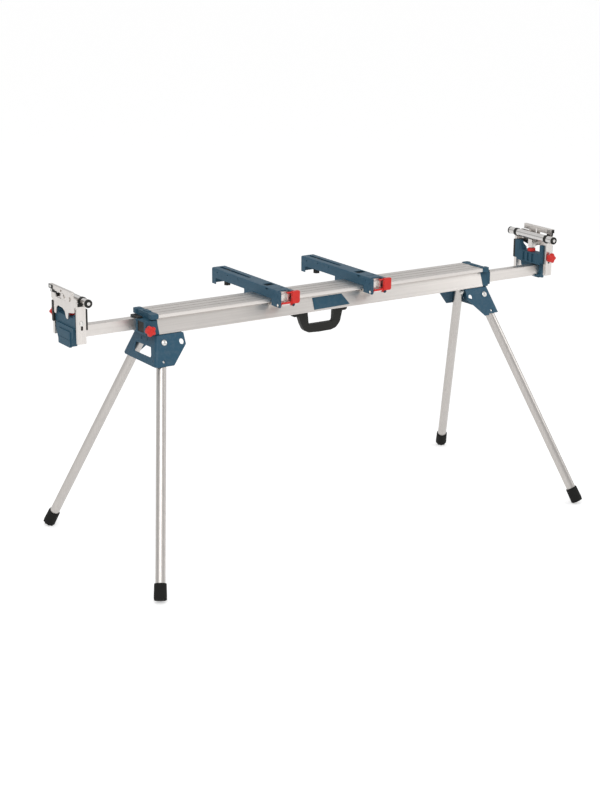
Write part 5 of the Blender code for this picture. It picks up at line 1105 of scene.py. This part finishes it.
def make_clamp_jaw(end, place):
    """Sliding jaw with a toe under the rail's front lip."""
    half = MOUNT_INNER - JAW_SIDE_GAP
    top = MOUNT_UNDERSIDE - SEAT_GAP
    bottom = top - JAW_HEIGHT
    face = JAW_FRONT_SETBACK - MOUNT_FRONT
    grip = -LIP_EDGE - SLIDE_GAP
    toe_top = LIP_BOTTOM - SLIDE_GAP
    outline = [
        (face + JAW_FRONT_LENGTH, top), (face + JAW_FRONT_LENGTH, top - JAW_FRONT_DROP),
        (face, top - JAW_FRONT_DROP), (face, bottom), (grip - JAW_LEG, bottom),
        (grip - JAW_LEG, MOUNT_BOTTOM), (grip + JAW_TOE_LENGTH, MOUNT_BOTTOM),
        (grip + JAW_TOE_LENGTH, toe_top), (grip, toe_top), (grip, top),
    ]
    jaw = piece(f"{end}_clamp_jaw", along([outline], -half, half), BAR_LOOK, place)
    deep = face + JAW_POCKET_DEPTH
    slot_low, slot_high = (-JAW_SLOT_LEFT, face - OVERRUN, bottom - OVERRUN), (-JAW_SLOT_RIGHT, deep, top)
    notch = bottom + JAW_NOTCH_RISE
    notch_low = (JAW_NOTCH_LEFT, face - OVERRUN, notch)
    notch_high = (half + OVERRUN, deep, notch + JAW_NOTCH_HEIGHT)
    cut(jaw, box(slot_low, slot_high), box(notch_low, notch_high))


def make_lever(end, place):
    """Release lever: a grip, a lid and a bar along the foot, on two cheeks round the lever pin."""
    back = -MOUNT_FRONT - LEVER_FACE_GAP
    front = back - LEVER_DEPTH
    bottom, top = LEVER_PIN.z + LEVER_BOTTOM_RISE, MOUNT_TOP - LEVER_TOP_DROP
    grip = rectangle((LEVER_GRIP_LEFT, bottom), (LEVER_GRIP_RIGHT, top))
    radii = (0, LEVER_BOTTOM_RADIUS, LEVER_EDGE_RADIUS, 0)
    lever = piece(f"{end}_lever", across([rounded(grip, radii)], front, back), RED_LOOK, place)
    frame_front = back - LEVER_FRAME_DEPTH
    lid_top = top - LEVER_LID_DROP
    lid = rectangle((-LEVER_LID_LEFT, lid_top - LEVER_LID_HEIGHT), (LEVER_GRIP_LEFT + LAP, lid_top))
    bar_top = bottom + LEVER_BAR_HEIGHT
    bar = rectangle((-LEVER_FRAME_LEFT + LAP, bottom + LAP / 2), (LEVER_BAR_RIGHT, bar_top))
    for outline in (lid, bar):
        add(lever, across([rounded(outline, LEVER_EDGE)], frame_front, back - LAP / 2))
    cheek_out = MOUNT_INNER - SLIDE_GAP
    cheek_in = cheek_out - LEVER_CHEEK_THICKNESS
    barrel = circle((LEVER_PIN.y, LEVER_PIN.z), LEVER_BARREL_RADIUS, PIN_SIDES)
    for side in (-1, 1):
        near, far = sorted((side * cheek_in, side * cheek_out))
        arm = [
            (LEVER_PIN.y, LEVER_PIN.z - LEVER_BARREL_RADIUS / 2),
            (LEVER_PIN.y, LEVER_PIN.z + LEVER_BARREL_RADIUS), (back - 2 * LAP, bar_top - LEVER_EDGE),
            (back - 2 * LAP, bottom + LEVER_EDGE),
        ]
        add(lever, along([arm], near, far), along([barrel], near + LAP / 4, far - LAP / 4))
    pin_hole = LEVER_PIN_RADIUS + HOLE_GAP
    wide = MOUNT_INNER
    cut(lever, cylinder((-wide, LEVER_PIN.y, LEVER_PIN.z), (wide, LEVER_PIN.y, LEVER_PIN.z), pin_hole))


def leg_frame(side):
    """Frame of a right-hand leg: origin on its pivot, Z up the leg and Y out through the side plate."""
    mirror = Vector((1, -side, 1))
    up = ((PIVOT - FOOT_POINT) * mirror).normalized()
    out = Vector((0, side * math.cos(PLATE_TILT), math.sin(PLATE_TILT)))
    turn = Matrix((out.cross(up), out, up)).transposed().to_4x4()
    return Matrix.Translation(PIVOT * mirror) @ turn


def guide_axis(side):
    """Frame on a post's guide screw, with Z outwards and its origin on the post's outer face."""
    turn = Matrix.Rotation(-side * math.pi / 2, 4, "X")
    return Matrix.Translation((POST_X, side * (POST_OUTER + SEAT_GAP), GUIDE_Z)) @ turn


def roller_axis(place):
    """Frame on a roller's axis, with Z along Y."""
    centre = (POST_X - ROLLER_SETBACK, 0, ARM_Z + ROLLER_RISE)
    return place @ Matrix.Translation(centre) @ Matrix.Rotation(-math.pi / 2, 4, "X")


def leg_places():
    for end, turn in ENDS.items():
        for side in (-1, 1):
            frame = turn @ leg_frame(side)
            yield f"{'front' if frame.translation.y < 0 else 'rear'}_{end}", frame


def make_foot(corner, frame):
    """Rubber shoe with a rounded rim and a lobed tread, cut level where it stands on the floor."""
    bottom = SHOE_SHORT - LEG_REACH
    top = bottom + SHOE_LENGTH
    floor = bottom + SHOE_SOLE
    reach = SHOE_RADIUS - SHOE_MARGIN
    bore = LEG_RADIUS + SEAT_GAP
    rim = (SHOE_TOP_RADIUS - bore) / 2
    rings = [(0, floor), (bore, floor), (bore, top - rim)]
    rings += [ring[:2] for ring in arc(bore + rim, top - rim, rim, 180, 0, 6)][1:]
    rings += [(SHOE_TOP_RADIUS + SHOE_TAPER, top - SHOE_RIM), (reach, bottom + SHOE_TREAD * SHOE_EDGE)]
    for inset, rise in TREAD_PROFILE:
        rings.append((reach - inset * SHOE_EDGE, bottom + rise * SHOE_EDGE, TREAD_DIP))
    rings += [(SHOE_RADIUS - SHOE_EDGE, bottom, TREAD_DIP), (0, bottom)]
    mesh = turned(rings, TREAD_LOBES, SHOE_SIDES)
    mesh.transform(frame)
    bm = bmesh.new()
    bm.from_mesh(mesh)
    skin = bm.verts[:] + bm.edges[:] + bm.faces[:]
    level = bmesh.ops.bisect_plane(bm, geom=skin, plane_co=(0, 0, 0), plane_no=(0, 0, 1), clear_inner=True)
    edges = [item for item in level["geom_cut"] if isinstance(item, bmesh.types.BMEdge)]
    bmesh.ops.holes_fill(bm, edges=edges, sides=0)
    bmesh.ops.recalc_face_normals(bm, faces=bm.faces)
    piece(f"{corner}_foot", mesh_from(bm, "foot"), RUBBER_LOOK)


def make_pivot_bolt(corner, frame):
    """Domed bolt through a leg, with a small recess in its head and a hexagon nut."""
    outward = frame @ Matrix.Rotation(-math.pi / 2, 4, "X")
    head = LEG_RADIUS + LEG_PLATE_GAP + SHEET + SEAT_GAP
    nut = -LEG_RADIUS - SEAT_GAP - NUT_HEIGHT
    dome = BOLT_HEAD_HEIGHT - BOLT_HEAD_RIM
    floor = head + BOLT_RECESS_FLOOR
    rings = [(0, floor), (BOLT_RECESS, floor), (BOLT_RECESS + 4 * HAIR, head + BOLT_HEAD_HEIGHT - 2 * HAIR)]
    for turn in (math.radians(angle) for angle in DOME_ANGLES):
        rings.append((BOLT_HEAD_RADIUS * math.cos(turn), head + BOLT_HEAD_RIM + dome * math.sin(turn)))
    rings += [(BOLT_HEAD_RADIUS, head), (BOLT_RADIUS, head)]
    rings += [(BOLT_RADIUS, nut - BOLT_END), (0, nut - BOLT_END)]
    bolt = piece(f"{corner}_pivot_bolt", turned(rings), ZINC_LOOK, outward)
    add(bolt, prism([circle((0, 0), NUT_RADIUS, 6)], NUT_HEIGHT, Matrix.Translation((0, 0, nut))))


def make_roller(end, place):
    """One turned bar: a barrel, two necks, two stubs and a spigot for each cap."""
    edge, radius, neck = ROLLER_EDGE, ROLLER_RADIUS, ROLLER_NECK_RADIUS
    spigot = ROLLER_STUB_END + ROLLER_SPIGOT_LENGTH
    half = [
        (0, spigot), (ROLLER_SPIGOT_RADIUS, spigot), (ROLLER_SPIGOT_RADIUS, ROLLER_STUB_END),
        (radius - edge, ROLLER_STUB_END), (radius, ROLLER_STUB_END - edge),
        (radius, ROLLER_STUB_START + edge), (radius - edge, ROLLER_STUB_START), (neck, ROLLER_STUB_START),
        (neck, ROLLER_BARREL_HALF), (radius - edge, ROLLER_BARREL_HALF),
        (radius, ROLLER_BARREL_HALF - edge),
    ]
    rings = half + [(reach, -height) for reach, height in reversed(half)]
    piece(f"{end}_roller", turned(rings), CHROME_LOOK, roller_axis(place))


def make_roller_cap(end, row, place, side):
    """Black cap with a rounded rim and a screw sunk in its middle."""
    start = ROLLER_STUB_END + SEAT_GAP
    far = start + ROLLER_CAP_LENGTH
    bore, floor = ROLLER_SPIGOT_RADIUS + SEAT_GAP, start + ROLLER_SPIGOT_LENGTH
    seat = far - CAP_SCREW_SUNK
    rings = [(0, floor), (bore, floor), (bore, start), (ROLLER_CAP_RADIUS, start)]
    rings += arc(ROLLER_CAP_RADIUS - ROLLER_CAP_RIM, far - ROLLER_CAP_RIM, ROLLER_CAP_RIM, 0, 90, 5)
    rings += [(CAP_SCREW_RADIUS + 2 * SEAT_GAP, far), (CAP_SCREW_RADIUS + SEAT_GAP, seat), (0, seat)]
    axis = roller_axis(place) @ Matrix.Rotation(0 if side > 0 else math.pi, 4, "X")
    name = f"{end}_roller_{row}_cap"
    piece(name, turned(rings), BLACK_LOOK, axis)
    screw = pan_head(CAP_SCREW_RADIUS, CAP_SCREW_HEIGHT, SMALL_SOCKET)
    axis = axis @ Matrix.Translation((0, 0, seat + HAIR))
    fitted(f"{name}_screw", screw, ZINC_LOOK, f"{end}_roller", axis)


def make_star_knob(end, kind, frame, standoff, reach):
    """Lobed knob with a rounded rim and a dished face, on a waisted hub, and its stud."""
    dip, top = KNOB_DIP, standoff + KNOB_THICKNESS
    hub, rim, lead = KNOB_HUB_RADIUS, KNOB_RIM, KNOB_HUB_LEAD
    rings = [(0, 0), (hub - lead, 0), (hub, lead), (hub - KNOB_WAIST, standoff / 2), (hub, standoff)]
    rings += arc(KNOB_RADIUS - rim, standoff + rim, rim, -KNOB_UNDERSIDE, 0, 4, dip)
    rings += arc(KNOB_RADIUS - rim, top - rim - KNOB_CROWN, rim, 0, KNOB_TOPSIDE, 5, dip)
    dish, slope, floor = KNOB_DISH_RADIUS, KNOB_DISH_SLOPE, top - KNOB_DISH_DEPTH
    rings.append((dish + 2 * slope, top - HAIR, dip * KNOB_DISH_WAVE))
    rings += [(dish, top), (dish - slope, floor), (0, floor)]
    name = f"{end}_{kind}_knob"
    piece(name, turned(rings, KNOB_LOBES, KNOB_SIDES), RED_LOOK, frame)
    fitted(f"{name}_stud", rod(-reach, STUD_LAP, KNOB_STUD_RADIUS), ZINC_LOOK, name, frame)


def make_knobs(end, place):
    seat_y = HOUSING_BACK + SEAT_GAP
    seat = Matrix.Translation((RAIL_END + ARM_KNOB_REACH, seat_y, ARM_Z - ARM_KNOB_DROP))
    seat = place @ seat @ Matrix.Rotation(-math.pi / 2, 4, "X")
    make_star_knob(end, "arm", seat, ARM_KNOB_STANDOFF, seat_y - (ARM_WIDTH / 2 - ARM_OFFSET + SEAT_GAP))
    make_star_knob(end, "height", place @ guide_axis(-1), HEIGHT_KNOB_STANDOFF, GUIDE_REACH)


def make_guide_screw(end, place):
    """Screw with a washer and a rounded head with a socket."""
    washer, edge = GUIDE_HEAD_THICKNESS, GUIDE_HEX_EDGE
    top = washer + GUIDE_HEX_THICKNESS
    lip = GUIDE_WASHER_EDGE
    rings = [(0, -GUIDE_REACH), (GUIDE_SCREW_RADIUS, -GUIDE_REACH), (GUIDE_SCREW_RADIUS, 0)]
    rings += [(GUIDE_HEAD_RADIUS, 0), (GUIDE_HEAD_RADIUS, washer - lip), (GUIDE_HEAD_RADIUS - lip, washer)]
    rings.append((GUIDE_HEX_RADIUS, washer))
    rings += arc(GUIDE_HEX_RADIUS - edge, top - edge, edge, 0, 90)
    floor = washer + GUIDE_SOCKET_FLOOR
    rings += [(GUIDE_SOCKET, top), (GUIDE_SOCKET - 2 * HAIR, floor), (0, floor)]
    piece(f"{end}_guide_screw", turned(rings, steps=GUIDE_SIDES), ZINC_LOOK, place @ guide_axis(1))


def make_thumb_wheel(end, place):
    """Fluted wheel with a recessed crown, and the stud that lifts the support."""
    seat = ARM_Z + CROSSBAR_TOP + SEAT_GAP
    frame = place @ Matrix.Translation((POST_X - WHEEL_SETBACK, 0, seat))
    dip, radius, top, edge = WHEEL_FLUTE_DEPTH, WHEEL_RADIUS, WHEEL_THICKNESS, WHEEL_EDGE
    rings = [(0, 0), (radius - edge, 0, dip), (radius, edge, dip), (radius, top - edge, dip)]
    rings.append((radius - edge, top, dip))
    outer, inner = (share * radius for share in WHEEL_CROWN_SHARES)
    rings += [(outer, top), (inner, top - WHEEL_CROWN_DEPTH), (0, top - WHEEL_CROWN_DEPTH)]
    name = f"{end}_thumb_wheel"
    piece(name, turned(rings, WHEEL_FLUTES, WHEEL_SIDES), RED_LOOK, frame)
    stud = rod(-WHEEL_STUD_DEPTH, ARM_Z + PILLAR_BOTTOM - SEAT_GAP - seat, WHEEL_STUD_RADIUS)
    fitted(f"{name}_stud", stud, ZINC_LOOK, name, frame)


# Fittings


def fit_end(end, place):
    """Black plate of painted shade just inside the end cap's pocket, the black liner over the arm, and the
    stop bar's end cover with its two screws.
    """
    # Painted shade: a black plate near the pocket's mouth stands for the shadow inside the pocket
    mouth = CAP_END - POCKET_SHADE_INSET
    low_z = RAIL_BOTTOM + HOUSING_FLOOR_GAP + POCKET_RISE
    low = (mouth - POCKET_SHADE_THICKNESS, LINER_GAP, low_z + LINER_GAP)
    high = (mouth, POCKET_WIDTH - LINER_GAP, low_z + POCKET_HEIGHT - LINER_GAP)
    fitted(f"{end}_pocket_liner", box(low, high), BLACK_LOOK, "rail", place)
    lap = LINER_LAP
    left = -ARM_OFFSET - CAP_LINER_WIDTH / 2 + HOUSING_ARM_WALL - lap
    low_z = ARM_TOP + SLIDE_GAP + HOUSING_TOP_WALL
    low = (RAIL_END + CAP_LOBE_REACH + SEAT_GAP, left, low_z)
    right, high_z = left + CAP_LINER_WIDTH + 2 * lap, ARM_TOP + CAP_LINER_HEIGHT + LINER_GAP
    liner = box(low, (CAP_END + CAP_LINER_OVERHANG + lap, right, high_z))
    fitted(f"{end}_arm_liner", liner, BLACK_LOOK, "rail", place)
    body = f"{end}_stop_bar"
    low, top = ARM_Z + COVER_BOTTOM, ARM_Z + STOP_BOTTOM + STOP_HEIGHT
    step, skin = ARM_Z + STOP_BOTTOM + STOP_STEP, COVER_SKIN
    foot, band, back = STOP_X + STOP_FOOT + skin, STOP_X + STOP_THICKNESS + skin, STOP_X + COVER_BACK
    cover = [(back, low), (foot, low), (foot, step - skin), (band, step - skin), (band, top - LINER_GAP)]
    cover.append((back, top - LINER_GAP))
    far = -STOP_LENGTH / 2
    fitted(f"{end}_stop_cover", across([cover], far - COVER_LAP, far + COVER_LENGTH), BLACK_LOOK, body, place)
    turn = Matrix.Rotation(math.pi / 2, 4, "Y")
    insets = COVER_SCREW_INSETS
    for name, x, inset, z in (
        ("upper", band, insets[0], (step + top) / 2),
        ("lower", foot, insets[1], (low + step) / 2),
    ):
        seat = place @ Matrix.Translation((x, far + inset, z)) @ turn
        screw = pan_head(COVER_SCREW_RADIUS, COVER_SCREW_HEIGHT, COVER_SCREW_SOCKET)
        fitted(f"{end}_stop_screw_{name}", screw, ZINC_LOOK, body, seat)


def fit_guides(end, place):
    """Black channels that the posts run in."""
    out = POST_INNER - SEAT_GAP
    low, high = ARM_Z + UPRIGHT_BOTTOM + LAP, ARM_Z + UPRIGHT_TOP - LAP
    left, right = POST_X - POST_WIDTH / 2 - SEAT_GAP, POST_X + POST_WIDTH / 2 + SEAT_GAP
    tip = out + GUIDE_LIP_WIDTH
    for side in (-1, 1):
        near = side * (out - GUIDE_WALL)
        if side > 0:
            lip, edge, other = left - GUIDE_STRIP, left, right
        else:
            lip, edge, other = right + GUIDE_LIP_OUT, right, left
        channel = [(lip, near), (lip, side * tip), (edge, side * tip), (edge, side * out)]
        channel += [(other, side * out), (other, near)]
        name = f"{end}_{'rear' if side > 0 else 'front'}_guide"
        fitted(name, upward([channel], low, high), BLACK_LOOK, f"{end}_arm", place)


END_PIECES = (
    make_end_cap,
    make_carriage,
    make_support_frame,
    make_roller,
    make_stop_bar,
    make_guide_screw,
    make_thumb_wheel,
    make_knobs,
)

for end, place in ENDS.items():
    for make in END_PIECES:
        make(end, place)
    for row, side in (("front", -1), ("rear", 1)):
        make_roller_cap(end, row, place, side if end == "right" else -side)
    fit_end(end, place)
    fit_guides(end, place)
for corner, frame in leg_places():
    make_foot(corner, frame)
    make_pivot_bolt(corner, frame)
for end, middle in MOUNT_PLACES.items():
    place = Matrix.Translation((middle, 0, 0))
    make_clamp_jaw(end, place)
    make_lever(end, place)
make_carry_handle()
for made, name in DRAWN:
    settle(made)
    even_shading(made, SOFT_EDGES.get(name.split("_", 1)[-1], FINE_EDGE))
    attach(made, NODES[name]["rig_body"])
    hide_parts(name)


# Nodes that stay as they are, with their looks
drawn = {name for _, name in DRAWN}
for name, node in NODES.items():
    if name not in drawn:
        fits = [key for key in LOOKS if name.endswith(key)]
        node.data.materials.clear()
        node.data.materials.append(LOOKS[max(fits, key=len)])
        even_shading(node)


# Stage, light and camera


def make_stage():
    """Pale floor that glows to the camera and in reflections, so that the ground comes out white."""
    bm = bmesh.new()
    bmesh.ops.create_grid(bm, x_segments=1, y_segments=1, size=FLOOR_HALF)
    floor = bpy.data.objects.new("floor", mesh_from(bm, "floor"))
    floor.location.z = -FLOOR_DROP
    SCENE.collection.objects.link(floor)
    made, tree = new_material("pale_floor", 0.9, specular=0.1)
    shader = tree.nodes["Principled BSDF"]
    shader.inputs["Base Color"].default_value = (*FLOOR_TONE, 1)
    shader.inputs["Emission Color"].default_value = (1, 1, 1, 1)
    paths = add_node(tree, "ShaderNodeLightPath")
    seen = add_node(tree, "ShaderNodeMath", {"operation": "MAXIMUM"})
    tree.links.new(paths.outputs["Is Camera Ray"], seen.inputs[0])
    tree.links.new(paths.outputs["Is Glossy Ray"], seen.inputs[1])
    strength = ranged(tree, seen.outputs["Value"], (0, 1), 0, FLOOR_GLOW)
    tree.links.new(strength, shader.inputs["Emission Strength"])
    floor.data.materials.append(made)


def make_world():
    """White to the camera, grey as light, and banded like a studio where it is mirrored."""
    world = bpy.data.worlds.new("studio")
    world.use_nodes = True
    tree = world.node_tree
    background = tree.nodes["Background"]
    paths = add_node(tree, "ShaderNodeLightPath")
    height = add_node(tree, "ShaderNodeSeparateXYZ")
    tree.links.new(add_node(tree, "ShaderNodeTexCoord").outputs["Generated"], height.inputs[0])
    bands = add_node(tree, "ShaderNodeValToRGB")
    tree.links.new(height.outputs["Z"], bands.inputs["Fac"])
    for place, tone in STUDIO_BANDS:
        ramp = bands.color_ramp.elements
        stop = ramp.new(place) if 0 < place < 1 else ramp[int(place)]
        stop.color = (tone, tone, tone, 1)
    soft = mixed(tree, paths.outputs["Is Glossy Ray"], (SKY_LIGHT,) * 3, bands.outputs["Color"])
    white = mixed(tree, paths.outputs["Is Camera Ray"], soft, (1, 1, 1))
    tree.links.new(white, background.inputs["Color"])
    background.inputs["Strength"].default_value = 1.0
    SCENE.world = world


def area_light(name, position, size, power):
    light = bpy.data.lights.new(name, "AREA")
    light.shape = "RECTANGLE"
    light.size = light.size_y = size
    light.energy = power
    made = bpy.data.objects.new(name, light)
    made.location = position
    aim = Vector((0, 0, LIGHT_AIM)) - Vector(position)
    made.rotation_euler = aim.to_track_quat("-Z", "Y").to_euler()
    SCENE.collection.objects.link(made)


def make_camera():
    """The photograph's viewpoint, solved from the rail's and the legs' lines."""
    yaw, pitch, roll = (math.radians(angle) for angle in CAMERA_TURNS)
    right = Vector((math.cos(yaw), -math.sin(yaw), 0))
    forward = Vector((math.sin(yaw) * math.cos(pitch), math.cos(yaw) * math.cos(pitch), -math.sin(pitch)))
    up = right.cross(forward)
    across = math.cos(roll) * right + math.sin(roll) * up
    above = math.cos(roll) * up - math.sin(roll) * right
    place = Matrix((across, above, -forward)).transposed().to_4x4()
    place.translation = CAMERA_PLACE
    camera = bpy.data.cameras.new("camera")
    camera.sensor_width = SENSOR
    camera.lens = CAMERA_FOCUS / PHOTO_HEIGHT * SENSOR
    made = bpy.data.objects.new("camera", camera)
    made.matrix_world = place
    SCENE.collection.objects.link(made)
    SCENE.camera = made


make_stage()
make_world()
for light in AREA_LIGHTS:
    area_light(*light)
make_camera()
SCENE.view_settings.view_transform = "Standard"
